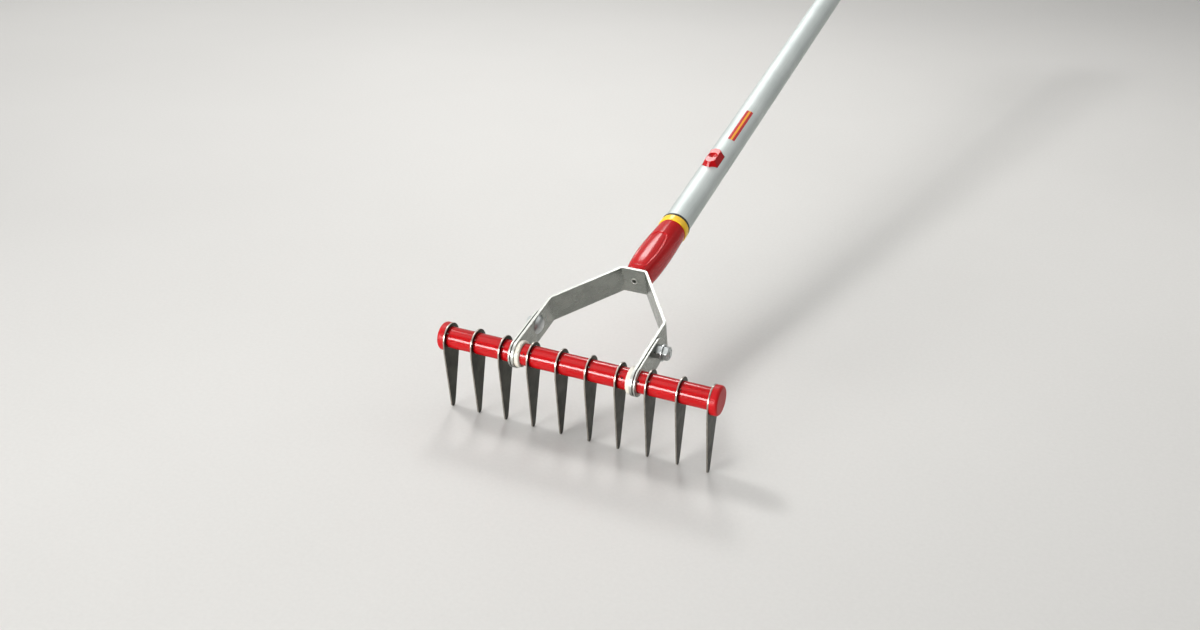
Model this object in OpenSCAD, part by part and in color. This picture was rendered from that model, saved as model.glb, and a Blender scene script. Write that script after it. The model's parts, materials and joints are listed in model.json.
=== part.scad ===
// Thatch rake with a swinging bar of flat knife tines under a bent flat-bar yoke,
// and a click-in handle. X runs along the tine bar, Z is up, and Y points to the user.
// The origin is the middle of the tine bar's axis. Millimetres.

/* [Tine bar] */
// Outside diameter of the bar tube
bar_d = 22; // [18:0.5:25]
// Wall of the bar tube
bar_wall = 1.5; // [1:0.1:2.5]
// Number of tines on the bar
tine_count = 10; // [8:2:12]
// Distance from one tine to the next
tine_pitch = 31.4; // [29.5:0.1:34]
// Thickness of a tine plate
tine_t = 1.5; // [1.2:0.1:3]
// Width of the metal round the bar in a tine's ring
tine_ring_w = 4; // [3:0.1:5]
// Distance from the bar's axis to a tine's tip
tine_reach = 80; // [65:1:95]
// Radius of a tine's tip
tine_tip_r = 3.5; // [1.5:0.1:4.5]
// How far a tine's tip lies in front of the bar's axis
tine_lead = 2.5; // [0:0.5:6]
// Distance from the bar's axis down to where a tine's sides start to taper
tine_shoulder = 11; // [6:0.5:16]
// Play between a tine's ring and the bar, on the radius
tine_play = 0.05; // [0.02:0.01:0.1]

/* [End caps] */
// Outside diameter of an end cap
cap_d = 29.6; // [27:0.1:34]
// Length of a cap beyond the end of the tube
cap_len = 7.9; // [5:0.1:12]
// Radius of the rounded rim of a cap
cap_rim_r = 2.8; // [1:0.1:3.5]
// Length of the plug that holds a cap in the tube
cap_plug_len = 14; // [8:1:25]
// Play between the plug and the tube, on the radius
cap_play = 0.05; // [0.02:0.01:0.1]

/* [Yoke and straps] */
// Width of the flat bar that the yoke is bent from
strip_w = 30; // [29:0.5:34]
// Thickness of the yoke's flat bar
strip_t = 3; // [2.5:0.1:4]
// Distance from the middle of the rake to the middle of a yoke leg
leg_x = 63.5; // [61:0.1:65]
// Distance from the bar's axis to the bend at the top of a leg
leg_reach = 74.5; // [68:0.5:85]
// Distance from the bar's axis to the middle of the top plate
yoke_reach = 145.5; // [135:0.5:160]
// Half the length of the top plate between its bends
plate_half = 13.5; // [11:0.5:17]
// Radius of the yoke's bends, to the middle of the strip
bend_r = 4; // [2.5:0.1:6]
// Thickness of a strap
strap_t = 2; // [1.5:0.1:3.5]
// Gap between a leg and its strap
strap_gap = 1; // [0.6:0.1:2]
// Distance from the bar's axis to the middle of a strap's round upper end
strap_reach = 45; // [43:0.5:52]
// Angle of the yoke and the handle above level
handle_tilt = 12.6; // [0:0.1:40]

/* [Bushes] */
// Wall of a bush's sleeve
bush_wall = 1.6; // [1.2:0.1:2]
// Play of the bar in a bush, on the radius
bush_play = 0.08; // [0.03:0.01:0.1]
// Play of a bush in its leg and strap, on the radius
bush_seat_play = 0.05; // [0.02:0.01:0.1]
// How far a bush's collar stands out round its sleeve
collar_step = 1.1; // [0.6:0.1:1.8]
// Length of a bush's collar, on the inner side of the leg
collar_len = 5.2; // [4:0.1:9]

/* [Swing stop] */
// Diameter of the stop pin in the bar
stop_d = 3; // [2:0.1:3.5]
// How far the stop pin stands out of the bar
stop_proud = 1.3; // [0.8:0.1:1.5]
// Swing of the tines towards the front, from hanging
swing_front = 15; // [5:1:40]
// Swing of the tines towards the user, from hanging
swing_back = 60; // [20:1:70]
// Room left at each end of the stop slot and along its sides
stop_play = 0.3; // [0.2:0.05:0.5]

/* [Bar retainers] */
// Diameter of a retaining pin beside a bush
retainer_d = 2; // [1.5:0.1:3.5]
// How far a retaining pin stands out of the bar
retainer_proud = 0.6; // [0.4:0.1:1.5]
// Gap between a retaining pin and the strap beside it
retainer_gap = 0.6; // [0.4:0.1:1.5]
// Gap between a retaining pin and the bush's collar beside it
retainer_in_gap = 3.2; // [0.4:0.1:5]
// Place of the retaining pins round the bar, from the user's side upwards
retainer_angle = 150; // [90:5:180]

/* [Strap bolts] */
// Thread diameter of a strap bolt
bolt_d = 8; // [6:0.5:10]
// Distance from the bar's axis to a strap bolt
bolt_reach = 43; // [36:0.5:50]
// Height of a strap bolt above the middle of the strip
bolt_rise = 3.5; // [0:0.5:4.5]
// Diameter of a bolt's round head
bolt_head_d = 20; // [16:0.5:21]
// Height of a bolt's round head
bolt_head_h = 4.6; // [3:0.1:6]
// Width of a nut across its flats
nut_flats = 13; // [12:0.5:17]
// Height of a plain nut
nut_h = 5.5; // [4:0.1:8]
// Height of a lock nut, without its collar
lock_nut_h = 5.5; // [4:0.1:8]
// Height of a lock nut's round collar
lock_collar_h = 0.9; // [0.6:0.1:3]
// Diameter of a lock nut's round collar
lock_collar_d = 11.5; // [10:0.1:12.5]
// Outside diameter of a washer
washer_d = 17.5; // [16:0.5:24]
// Thickness of a washer
washer_t = 1.5; // [1:0.1:2.5]
// Length of the long right bolt beyond its lock nut
bolt_end = 0.6; // [0.5:0.1:6]
// Length of the short left bolt beyond its nut
short_bolt_end = 1.2; // [0.5:0.1:4]
// Play round a bolt, on the radius
bolt_play = 0.1; // [0.05:0.01:0.3]

/* [Socket] */
// Length of the socket from the top plate to its shoulder
socket_len = 101.5; // [80:0.5:130]
// Width of the socket's foot on the top plate
foot_w = 23; // [20:0.5:26]
// Height of the socket's foot on the top plate
foot_h = 27.5; // [24:0.5:30]
// Height of the middle of the socket's foot above the middle of the strip
foot_rise = -1; // [-4:0.5:1]
// How far the lip round the foot stands out
foot_lip = 0.7; // [0.4:0.1:2]
// Length of the lip round the foot
foot_lip_len = 4; // [2:0.5:8]
// How far the socket swells between its foot and its neck
socket_belly = 3.5; // [0:0.1:5]
// Gap between the socket's foot and the top plate, and round the rivet
foot_gap = 0.1; // [0.05:0.05:0.3]
// Squareness of the socket at its foot, where 2 is an ellipse
socket_square = 2.8; // [2:0.1:4.5]
// Diameter of the socket at its shoulder
neck_d = 32; // [31:0.1:36]
// Depth of the sunken panel in the socket
panel_deep = 1.1; // [0.6:0.1:2]
// Distance from the shoulder down to the panel's top edge
panel_top = 28; // [12:0.5:35]
// Distance from the top plate up to the panel's lower point
panel_low = 8; // [5:0.5:20]
// Width of the panel at its top edge
panel_top_w = 17; // [14:0.5:20]
// Width of the panel at its widest
panel_w = 23; // [20:0.5:25]
// Radius of the panel's corners
panel_corner = 4; // [2:0.5:6]
// Height of the handle's axis above the middle of the strip
handle_rise = -6.5; // [-9:0.5:0]
// Outside diameter of the tubular rivet through the top plate
rivet_d = 6; // [5:0.1:8]
// Hole down the middle of the tubular rivet
rivet_hole = 3; // [2:0.1:4]
// Depth of the rivet in the socket
rivet_len = 16; // [10:1:22]
// Height of the rivet's head
rivet_head_t = 1.2; // [0.8:0.1:2]
// How far the rivet's head spreads round its shank
rivet_head_step = 1.5; // [1:0.1:3]

/* [Handle] */
// Outside diameter of the handle tube
handle_d = 31; // [29:0.1:31.5]
// Wall of the handle tube
handle_wall = 1.5; // [1.2:0.1:2]
// Length of the handle tube
handle_len = 1300; // [900:10:1500]
// Outside diameter of the collar ring and the seal ring
ring_d = 34; // [33.6:0.1:37]
// Length of the yellow collar ring
collar_ring_len = 9.5; // [6:0.5:14]
// Length of the black seal ring
seal_len = 3; // [2:0.1:5]
// Length of the socket's spigot inside the handle tube
spigot_len = 158; // [150:1:200]
// Play of the spigot in the handle tube, on the radius
spigot_play = 0.2; // [0.1:0.05:0.4]
// Length of the grip at the handle's end
grip_len = 150; // [110:5:220]
// Thickness of the grip's sleeve
grip_wall = 2.4; // [2:0.1:4]
// Diameter of the hanging hole
hang_hole_d = 10; // [6:0.5:14]
// Metal round the hanging hole, in the eye
eye_rim = 6; // [5:0.5:8]
// Thickness of the hanging eye
eye_t = 14; // [10:0.5:18]
// Length of the end plug inside the tube
plug_len = 30; // [20:1:50]
// Thickness of the end plug's flange
plug_flange_t = 4; // [3:0.5:6]

/* [Release button] */
// Distance from the tube's lower end to the middle of the button
button_v = 122; // [112:1:125]
// Length of the button along the handle, at its base
button_len = 40; // [34:0.5:42]
// Width of the button across the handle, at its base
button_w = 19.2; // [17:0.1:19.6]
// Cut across each corner of the button's base
button_corner = 7.5; // [4:0.5:8.5]
// Length of the button's upper face
button_top_len = 31.5; // [26:0.5:33]
// Width of the button's upper face
button_top_w = 13; // [12.5:0.1:15]
// Cut across each corner of the button's upper face
button_top_corner = 4.5; // [2:0.5:5.5]
// How far the button stands out of the tube's crest
button_proud = 5; // [4:0.1:7]
// Travel of the button when it is pressed
button_travel = 3.5; // [2:0.1:4]
// Gap between the button and its window in the tube
button_gap = 0.35; // [0.3:0.05:0.6]
// Depth of the finger dish in the button
dish_depth = 1.8; // [1:0.1:2.5]
// Diameter of the finger dish
dish_d = 11.5; // [8:0.5:12]
// Thickness of the latch spring's strip
latch_t = 1; // [0.6:0.1:1.4]
// Width of the latch spring
latch_w = 8; // [6:0.5:9]

/* [Hidden] */
$fn = 64;
RED = "#b3121c";
STEEL = "#b9bdbc";
eps = 0.01;

function tine_name(i) = str("tine_", i < 10 ? "0" : "", i);

// The bar tube ends flush with the outer faces of the outer tines.
bar_r = bar_d / 2;
tine_ring_r = bar_r + tine_ring_w;
blade_inset = 0.05;
bar_half = (tine_count - 1) / 2 * tine_pitch + tine_t / 2;

// Faces of a yoke leg, its strap and its bush, measured from the middle of the rake.
leg_in = leg_x - strip_t / 2;
leg_out = leg_x + strip_t / 2;
strap_in = leg_out + strap_gap;
strap_out = strap_in + strap_t;
bush_in = leg_in - collar_len;
bush_bore_r = bar_r + bush_play;
sleeve_r = bush_bore_r + bush_wall;
seat_r = sleeve_r + bush_seat_play;
stop_x = (leg_in + strap_out) / 2;
retainer_in_x = bush_in - retainer_in_gap - retainer_d / 2;
retainer_out_x = strap_out + retainer_gap + retainer_d / 2;

// The stacks of nuts on the bolts, from the straps outwards.
washer_x = strap_out + nut_h;
lock_x = washer_x + washer_t;
long_tip_x = lock_x + lock_nut_h + lock_collar_h + bolt_end;
short_tip_x = washer_x + short_bolt_end;
bolt_hole_d = bolt_d + 2 * bolt_play;

// Stations along the handle, measured from the bar's axis.
plate_top = yoke_reach + strip_t / 2;
foot_v = plate_top + foot_gap;
neck_v = plate_top + socket_len;
seal_v = neck_v + collar_ring_len;
tube_v = seal_v + seal_len;
tube_end_v = tube_v + handle_len;
handle_r = handle_d / 2;
tube_in_r = handle_r - handle_wall;
spigot_r = tube_in_r - spigot_play;
spigot_end_v = tube_v + spigot_len;
button_at = tube_v + button_v;

// Heights in the button and its latch, above the handle's axis.
button_crest = handle_r + button_proud;
taper_from = sqrt(pow(handle_r, 2) - pow(button_w / 2, 2));
flange_t = 1.6;
flange_lip = 3;
flange_gap = 0.4;
flange_side = 0.6;
flange_half = button_w / 2 + flange_side;
flange_top = sqrt(pow(tube_in_r, 2) - pow(flange_half, 2)) - flange_gap;
flange_low = flange_top - flange_t;
latch_gap = 0.3;
latch_high = flange_low - latch_gap;
latch_floor = latch_high - button_travel - latch_t;
tooth_len = 9;
tooth_rise = 2.5;
tooth_high = flange_top + tooth_rise;
pocket_gap = 0.6;
latch_foot_len = 22;
latch_rise_len = 30;
groove_gap = 0.4;
groove_v = button_at - button_len / 2 - flange_lip - latch_rise_len - latch_foot_len;

// Frame of the yoke and handle: Y runs up the handle and Z is its upper side.
module in_head() {
    rotate([handle_tilt, 0, 0]) children();
}

// A flat shape drawn in Y and Z, t thick along X from x.
module plate_x(x, t) {
    translate([x, 0, 0]) rotate([90, 0, 90]) linear_extrude(t) children();
}

// A round bar of diameter d along X, from x0 to x1.
module bar_x(x0, x1, d) {
    translate([x0, 0, 0]) rotate([0, 90, 0]) cylinder(h = x1 - x0, d = d);
}

// Children turned so that their Z runs up the handle's axis from v.
module on_handle(v) {
    translate([0, v, handle_rise]) rotate([-90, 0, 0]) children();
}

// A round tube up the handle from v, len long.
module sleeve(v, len, d_out, d_in) {
    on_handle(v) difference() {
        cylinder(h = len, d = d_out);
        translate([0, 0, -eps]) cylinder(h = len + 2 * eps, d = d_in);
    }
}

// The right side as drawn, or its mirror image on the left.
module on_side(side) {
    mirror([side < 0 ? 1 : 0, 0, 0]) children();
}

module both_sides() {
    for (side = [-1, 1]) on_side(side) children();
}

// A closed skin through rings of points that all have the same count.
module loft(rings) {
    n = len(rings[0]);
    last = (len(rings) - 1) * n;
    points = [for (ring = rings) for (p = ring) p];
    sides = [for (j = [0:len(rings) - 2]) for (i = [0:n - 1]) let (k = (i + 1) % n)
        each [[j * n + i, j * n + k, (j + 1) * n + k], [j * n + i, (j + 1) * n + k, (j + 1) * n + i]]];
    ends = [for (i = [1:n - 2]) each [[0, i + 1, i], [last, last + i, last + i + 1]]];
    polyhedron(points, concat(sides, ends));
}

// Pin positions round the bar, at x, with Z out of the bar.
module pin_at(x, angle) {
    translate([x, 0, 0]) rotate([angle - 90, 0, 0]) children();
}

// Round steel tube that carries the tines, drilled for its pins.
module bar_tube() {
    color(RED) difference() {
        bar_x(-bar_half, bar_half, bar_d);
        bar_x(-bar_half - eps, bar_half + eps, bar_d - 2 * bar_wall);
        both_sides() {
            for (x = [retainer_in_x, retainer_out_x]) pin_at(x, retainer_angle)
                cylinder(h = bar_d, d = retainer_d + 2 * tine_play);
            pin_at(stop_x, -90) cylinder(h = bar_d, d = stop_d + 2 * tine_play);
        }
    }
}

// Moulded cap with a rounded rim and a plug that sits in the tube.
module end_cap(side) {
    color(RED) on_side(side) translate([bar_half, 0, 0]) rotate([0, 90, 0]) {
        rotate_extrude() {
            square([cap_d / 2 - cap_rim_r, cap_len]);
            square([cap_d / 2, cap_len - cap_rim_r]);
            translate([cap_d / 2 - cap_rim_r, cap_len - cap_rim_r]) circle(cap_rim_r);
        }
        translate([0, 0, -cap_plug_len])
            cylinder(h = cap_plug_len + eps, d = bar_d - 2 * bar_wall - 2 * cap_play);
    }
}

// Point where a line from p touches a circle, on the side that turn picks.
function touch(p, centre, r, turn) = let (
        way = centre - p,
        angle = atan2(way[1], way[0]) + turn * asin(r / norm(way)))
    p + to(angle) * sqrt(pow(norm(way), 2) - r * r);

// One flat knife tine: a ring threaded on the bar, and sides that taper from a shoulder to a round tip.
module tine(i) {
    x = (i - (tine_count + 1) / 2) * tine_pitch;
    tip = [-tine_lead, tine_tip_r - tine_reach];
    side = tine_ring_r - blade_inset;
    back = [side, -tine_shoulder];
    front = [-side, -tine_shoulder];
    color(STEEL) translate([x - tine_t / 2, 0, 0]) rotate([90, 0, 90]) difference() {
        union() {
            linear_extrude(tine_t) polygon([
                [side, 0], back, touch(back, tip, tine_tip_r - blade_inset, 1),
                touch(front, tip, tine_tip_r - blade_inset, -1), front, [-side, 0]]);
            cylinder(h = tine_t, r = tine_ring_r);
            translate(tip) cylinder(h = tine_t, r = tine_tip_r);
        }
        translate([0, 0, -eps]) cylinder(h = tine_t + 2 * eps, r = bar_r + tine_play);
    }
}

// Pins beside the bushes that keep the bar from sliding endways.
module bar_retainers() {
    color("#3b3b3d") both_sides() for (x = [retainer_in_x, retainer_out_x]) pin_at(x, retainer_angle)
        translate([0, 0, bar_r - bar_wall]) cylinder(h = bar_wall + retainer_proud, d = retainer_d);
}

// Pins that run in the bushes' slots and stop the swing.
module stop_pins() {
    color(STEEL) both_sides() pin_at(stop_x, -90)
        translate([0, 0, bar_r - bar_wall]) cylinder(h = bar_wall + stop_proud, d = stop_d);
}

// Plastic bearing sleeve with a collar inside the leg and a slot for the stop pin.
module bush(side) {
    half_pin = asin((stop_d / 2 + stop_play) / bar_r);
    slot_w = stop_d + 2 * stop_play;
    color("#e9e6dc") on_side(side) difference() {
        union() {
            bar_x(leg_in - eps, strap_out, 2 * sleeve_r);
            bar_x(bush_in, leg_in, 2 * (sleeve_r + collar_step));
        }
        bar_x(bush_in - eps, strap_out + eps, 2 * bush_bore_r);
        translate([stop_x - slot_w / 2, 0, 0]) rotate([90, 0, 90])
            rotate([0, 0, -90 - swing_front - half_pin])
                rotate_extrude(angle = swing_front + swing_back + 2 * half_pin)
                    translate([bar_r / 2, 0]) square([bar_r, slot_w]);
    }
}

// Round-ended leg shape with the hole for the bush and the hole for the bolt.
module leg_outline(reach, round_top) {
    difference() {
        union() {
            circle(d = strip_w);
            translate([0, -strip_w / 2]) square([reach, strip_w]);
            if (round_top) translate([reach, 0]) circle(d = strip_w);
        }
        circle(seat_r);
        translate([bolt_reach, bolt_rise]) circle(d = bolt_hole_d);
    }
}

// One edge of the bent strip, off to the outer side of its middle line, with round bends.
side_angle = atan2(yoke_reach - leg_reach, leg_x - plate_half);
headings = [90, side_angle, 0, -side_angle, -90];
bends = [[-leg_x, leg_reach], [-plate_half, yoke_reach], [plate_half, yoke_reach], [leg_x, leg_reach]];
bend_steps = 5;
function to(angle) = [cos(angle), sin(angle)];
function bend_centre(i) = let (half_turn = (headings[i] - headings[i + 1]) / 2)
    bends[i] - to(headings[i] - half_turn + 90) * bend_r / cos(half_turn);
function strip_edge(off) = concat(
    [[-leg_x - off, bolt_reach]],
    [for (i = [0:len(bends) - 1]) for (j = [0:bend_steps])
        bend_centre(i) + to(90 + mix(headings[i], headings[i + 1], j / bend_steps)) * (bend_r + off)],
    [[leg_x + off, bolt_reach]]);

// Flat bar bent to a yoke, with a top plate for the socket and two drilled legs.
module yoke() {
    inner = strip_edge(-strip_t / 2);
    last = len(inner) - 1;
    color(STEEL) in_head() difference() {
        union() {
            linear_extrude(strip_w, center = true)
                polygon(concat(strip_edge(strip_t / 2), [for (i = [0:last]) inner[last - i]]));
            both_sides() plate_x(leg_in, strip_t) leg_outline(bolt_reach + bolt_d, false);
        }
        both_sides() plate_x(leg_in - eps, strip_t + 2 * eps)
            translate([bolt_reach, bolt_rise]) circle(d = bolt_hole_d);
        translate([0, yoke_reach, 0]) rotate([90, 0, 0])
            cylinder(h = 2 * strip_t, d = rivet_d + 2 * foot_gap, center = true);
    }
}

// Round-ended plate bolted to the outside of a leg.
module strap(side) {
    color(STEEL) in_head() on_side(side) plate_x(strap_in, strap_t) leg_outline(strap_reach, true);
}

// Children at a bolt's axis, with Z pointing out from the middle of the rake.
module on_bolt(side, x) {
    in_head() on_side(side) translate([x, bolt_reach, bolt_rise]) rotate([0, 90, 0]) children();
}

// Washers on the bolts that hold the straps off the legs.
module strap_spacers() {
    color(STEEL) for (side = [-1, 1]) on_bolt(side, leg_out) difference() {
        cylinder(h = strap_gap, d = bolt_head_d);
        translate([0, 0, -eps]) cylinder(h = strap_gap + 2 * eps, d = bolt_hole_d);
    }
}

// A bolt with a low round head on the inner side of its leg.
module strap_bolt(side, tip_x) {
    head_r = (pow(bolt_head_d / 2, 2) + pow(bolt_head_h, 2)) / (2 * bolt_head_h);
    tip_cut = bolt_d / 8;
    on_bolt(side, leg_in) rotate_extrude() {
        intersection() {
            translate([0, head_r - bolt_head_h]) circle(head_r);
            translate([0, -bolt_head_h]) square([bolt_head_d / 2, bolt_head_h]);
        }
        square([bolt_d / 2, tip_x - leg_in - tip_cut]);
        square([bolt_d / 2 - tip_cut, tip_x - leg_in]);
    }
}

// The right bolt is long enough for a washer and a lock nut over its plain nut.
module strap_bolts() {
    color(STEEL) {
        strap_bolt(-1, short_tip_x);
        strap_bolt(1, long_tip_x);
    }
}

// A hexagon nut with its corners turned off, standing on Z = 0.
module hex_nut(height, collar) {
    corner_r = nut_flats / 2 / cos(30);
    turned = corner_r - nut_flats / 2;
    difference() {
        union() {
            intersection() {
                cylinder(h = height, r = corner_r, $fn = 6);
                rotate_extrude() {
                    square([nut_flats / 2 + turned / 3, height]);
                    translate([0, turned / 2]) square([corner_r + eps, height - turned]);
                }
            }
            if (collar > 0) translate([0, 0, height - eps]) cylinder(h = collar + eps, d = lock_collar_d);
        }
        translate([0, 0, -eps]) cylinder(h = height + collar + 2 * eps, d = bolt_hole_d);
    }
}

module strap_nuts() {
    color(STEEL) for (side = [-1, 1]) on_bolt(side, strap_out) hex_nut(nut_h, 0);
}

module bolt_washer() {
    color(STEEL) on_bolt(1, washer_x) difference() {
        cylinder(h = washer_t, d = washer_d);
        translate([0, 0, -eps]) cylinder(h = washer_t + 2 * eps, d = bolt_hole_d);
    }
}

module lock_nut() {
    color(STEEL) on_bolt(1, lock_x) hex_nut(lock_nut_h, lock_collar_h);
}

// Sections of the socket: a rounded square at the foot swells and eases into the round neck.
socket_sides = 40;
socket_steps = 14;
belly_skew = 0.65;
panel_wide_at = 0.45;
function ease(t) = t * t * (3 - 2 * t);
function mix(a, b, t) = a + (b - a) * t;
function bow(c, power) = sign(c) * pow(abs(c), power);
function socket_ring(t, grow) = let (
        k = ease(t),
        swell = socket_belly * sin(180 * pow(t, belly_skew)) + grow,
        a = mix(foot_w, neck_d, k) / 2 + swell,
        b = mix(foot_h, neck_d, k) / 2 + swell,
        z = mix(foot_rise, handle_rise, t),
        power = 2 / mix(socket_square, 2, k))
    [for (i = [0:socket_sides - 1]) let (q = 360 * i / socket_sides)
        [a * bow(cos(q), power), mix(foot_v, neck_v, t), z + b * bow(sin(q), power)]];

module socket_skin(grow) {
    loft([for (j = [0:socket_steps]) socket_ring(j / socket_steps, grow)]);
}

// Outline of the sunken panel, narrow near the neck and wide half way down.
module panel_outline() {
    top_v = neck_v - panel_top - panel_corner;
    low_v = plate_top + panel_low + 2 * panel_corner;
    hull() {
        for (x = [-1, 1]) {
            translate([x * (panel_top_w / 2 - panel_corner), top_v]) circle(panel_corner, $fn = 32);
            translate([x * (panel_w / 2 - panel_corner), mix(low_v, top_v, panel_wide_at)])
                circle(panel_corner, $fn = 32);
        }
        translate([0, low_v]) circle(2 * panel_corner, $fn = 32);
    }
}

// Moulded connector: lipped foot on the yoke's top plate, sunken panel, neck and spigot.
module socket() {
    color(RED) in_head() difference() {
        union() {
            socket_skin(0);
            intersection() {
                socket_skin(foot_lip);
                translate([-foot_w, foot_v, -foot_h]) cube([2 * foot_w, foot_lip_len, 2 * foot_h]);
            }
            on_handle(neck_v - eps) cylinder(h = spigot_end_v - neck_v + eps, r = spigot_r);
        }
        difference() {
            linear_extrude(2 * foot_h) panel_outline();
            socket_skin(-panel_deep);
        }
        translate([0, foot_v + rivet_len, 0]) rotate([90, 0, 0])
            cylinder(h = rivet_len + eps, d = rivet_d + 2 * foot_gap);
        translate([-flange_half - groove_gap, groove_v, handle_rise + latch_floor - groove_gap / 4])
            cube([2 * (flange_half + groove_gap), spigot_end_v, handle_d]);
    }
}

// Tubular rivet whose head shows on the inner side of the top plate.
module socket_rivet() {
    color("#d3d4d0") in_head() translate([0, plate_top, 0]) rotate([-90, 0, 0]) difference() {
        union() {
            translate([0, 0, -strip_t]) cylinder(h = strip_t + rivet_len, d = rivet_d);
            translate([0, 0, -strip_t - rivet_head_t]) cylinder(
                h = rivet_head_t, d1 = rivet_d + rivet_head_step, d2 = rivet_d + 2 * rivet_head_step);
        }
        translate([0, 0, -strip_t - rivet_head_t - eps]) cylinder(h = rivet_len, d = rivet_hole);
    }
}

module collar_ring() {
    color("#f2c417") in_head() sleeve(neck_v, collar_ring_len, ring_d, 2 * (spigot_r + spigot_play));
}

module seal_ring() {
    color("#1b1b1c") in_head() sleeve(seal_v, seal_len, ring_d, 2 * (spigot_r + spigot_play));
}

// A thin plate at a height, long along Y, with its corners cut across.
module button_layer(height, w, len, cut) {
    a = w / 2;
    b = len / 2;
    translate([0, 0, height]) linear_extrude(eps) polygon([
        [-a + cut, -b], [a - cut, -b], [a, -b + cut], [a, b - cut],
        [a - cut, b], [-a + cut, b], [-a, b - cut], [-a, -b + cut]]);
}

// Block of the button, straight in the tube's wall and tapered above it, grown all round for its window.
module button_block(grow) {
    in_head() translate([0, button_at, handle_rise]) hull() {
        for (height = [flange_low, taper_from])
            button_layer(height, button_w + 2 * grow, button_len + 2 * grow, button_corner);
        button_layer(
            button_crest - eps, button_top_w + 2 * grow, button_top_len + 2 * grow, button_top_corner);
    }
}

// Drawn aluminium tube with the button's window in its upper side.
module handle_tube() {
    color("#c4c8c9") difference() {
        in_head() sleeve(tube_v, handle_len, handle_d, 2 * tube_in_r);
        button_block(button_gap);
    }
}

// Block in the tube's window, with a finger dish, a retaining flange and a pocket for the latch.
module release_button() {
    dish_r = (pow(dish_d / 2, 2) + pow(dish_depth, 2)) / (2 * dish_depth);
    pocket_w = latch_w + 2 * pocket_gap;
    pocket_len = tooth_len + 2 * pocket_gap;
    flange_len = button_len + 2 * flange_lip;
    color(RED) difference() {
        union() {
            button_block(0);
            in_head() translate([-flange_half, button_at - flange_len / 2, handle_rise + flange_low])
                cube([2 * flange_half, flange_len, flange_t]);
        }
        in_head() translate([0, button_at, handle_rise]) {
            translate([0, 0, button_crest - dish_depth + dish_r]) sphere(dish_r);
            translate([-pocket_w / 2, -pocket_len / 2, flange_low - eps])
                cube([pocket_w, pocket_len, tooth_high - flange_low + pocket_gap]);
        }
    }
}

// Leaf spring in the spigot that lifts the button and carries the catch tooth.
module latch_spring() {
    rise_to = -button_len / 2 - flange_lip;
    rise_from = rise_to - latch_rise_len;
    foot = rise_from - latch_foot_len + groove_gap;
    color(STEEL) in_head() translate([0, button_at, handle_rise]) plate_x(-latch_w / 2, latch_w) polygon([
        [foot, latch_floor], [rise_from, latch_floor], [rise_to, latch_high - latch_t],
        [tooth_len / 2, latch_high - latch_t], [tooth_len / 2, tooth_high], [0, tooth_high],
        [-tooth_len / 2, latch_high], [rise_to, latch_high], [rise_from, latch_floor + latch_t],
        [foot, latch_floor + latch_t]]);
}

// Soft sleeve at the top of the handle, with rounded lips.
module grip() {
    inner = handle_r + spigot_play;
    outer = inner + grip_wall;
    color("#232325") in_head() on_handle(tube_end_v - grip_len) rotate_extrude() {
        translate([inner, grip_wall / 2]) square([grip_wall, grip_len - grip_wall]);
        translate([inner, 0]) square([grip_wall / 2, grip_len]);
        for (z = [grip_wall / 2, grip_len - grip_wall / 2])
            translate([outer - grip_wall / 2, z]) circle(grip_wall / 2);
    }
}

// Plug in the top of the tube with a flat eye to hang the rake by.
module end_plug() {
    eye_r = hang_hole_d / 2 + eye_rim;
    eye_v = tube_end_v + plug_flange_t + eye_r;
    color(RED) in_head() difference() {
        union() {
            on_handle(tube_end_v - plug_len) cylinder(h = plug_len + eps, r = tube_in_r - cap_play);
            on_handle(tube_end_v) cylinder(h = plug_flange_t, r = handle_r + grip_wall / 2);
            translate([0, eye_v, handle_rise]) rotate([0, 90, 0])
                cylinder(h = eye_t, r = eye_r, center = true);
            translate([-eye_t / 2, tube_end_v + plug_flange_t - eps, handle_rise - eye_r])
                cube([eye_t, eye_r + eps, 2 * eye_r]);
        }
        translate([0, eye_v, handle_rise]) rotate([0, 90, 0])
            cylinder(h = eye_t + 2 * eps, d = hang_hole_d, center = true);
    }
}

bar_tube();
end_cap(-1);  // end_cap_left
end_cap(1);  // end_cap_right
bar_retainers();
stop_pins();
for (i = [1:tine_count]) tine(i);
yoke();
strap(-1);  // strap_left
strap(1);  // strap_right
bush(-1);  // bush_left
bush(1);  // bush_right
strap_spacers();
strap_bolts();
strap_nuts();
bolt_washer();
lock_nut();
socket();
socket_rivet();
collar_ring();
seal_ring();
handle_tube();
latch_spring();
release_button();
grip();
end_plug();
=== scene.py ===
"""Thatch rake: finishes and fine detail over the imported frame, laid out as an add-on."""
import json
import math

import bmesh
import bpy
from mathutils import Matrix, Vector


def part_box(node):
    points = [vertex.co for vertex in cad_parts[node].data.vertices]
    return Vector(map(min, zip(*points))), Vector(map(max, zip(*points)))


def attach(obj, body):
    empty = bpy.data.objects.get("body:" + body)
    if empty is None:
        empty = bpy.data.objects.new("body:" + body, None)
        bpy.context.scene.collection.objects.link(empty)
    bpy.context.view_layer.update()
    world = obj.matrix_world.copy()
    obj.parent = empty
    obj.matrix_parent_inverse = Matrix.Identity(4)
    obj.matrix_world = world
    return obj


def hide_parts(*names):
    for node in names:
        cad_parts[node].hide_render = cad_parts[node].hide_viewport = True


bl_info = {
    "name": "Thatch rake",
    "version": (1, 0, 0),
    "blender": (4, 5, 0),
    "location": "View3D > Sidebar > Rake",
    "description": "Builds the visual model of a thatch rake over its packed frame",
    "category": "Object",
}

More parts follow.
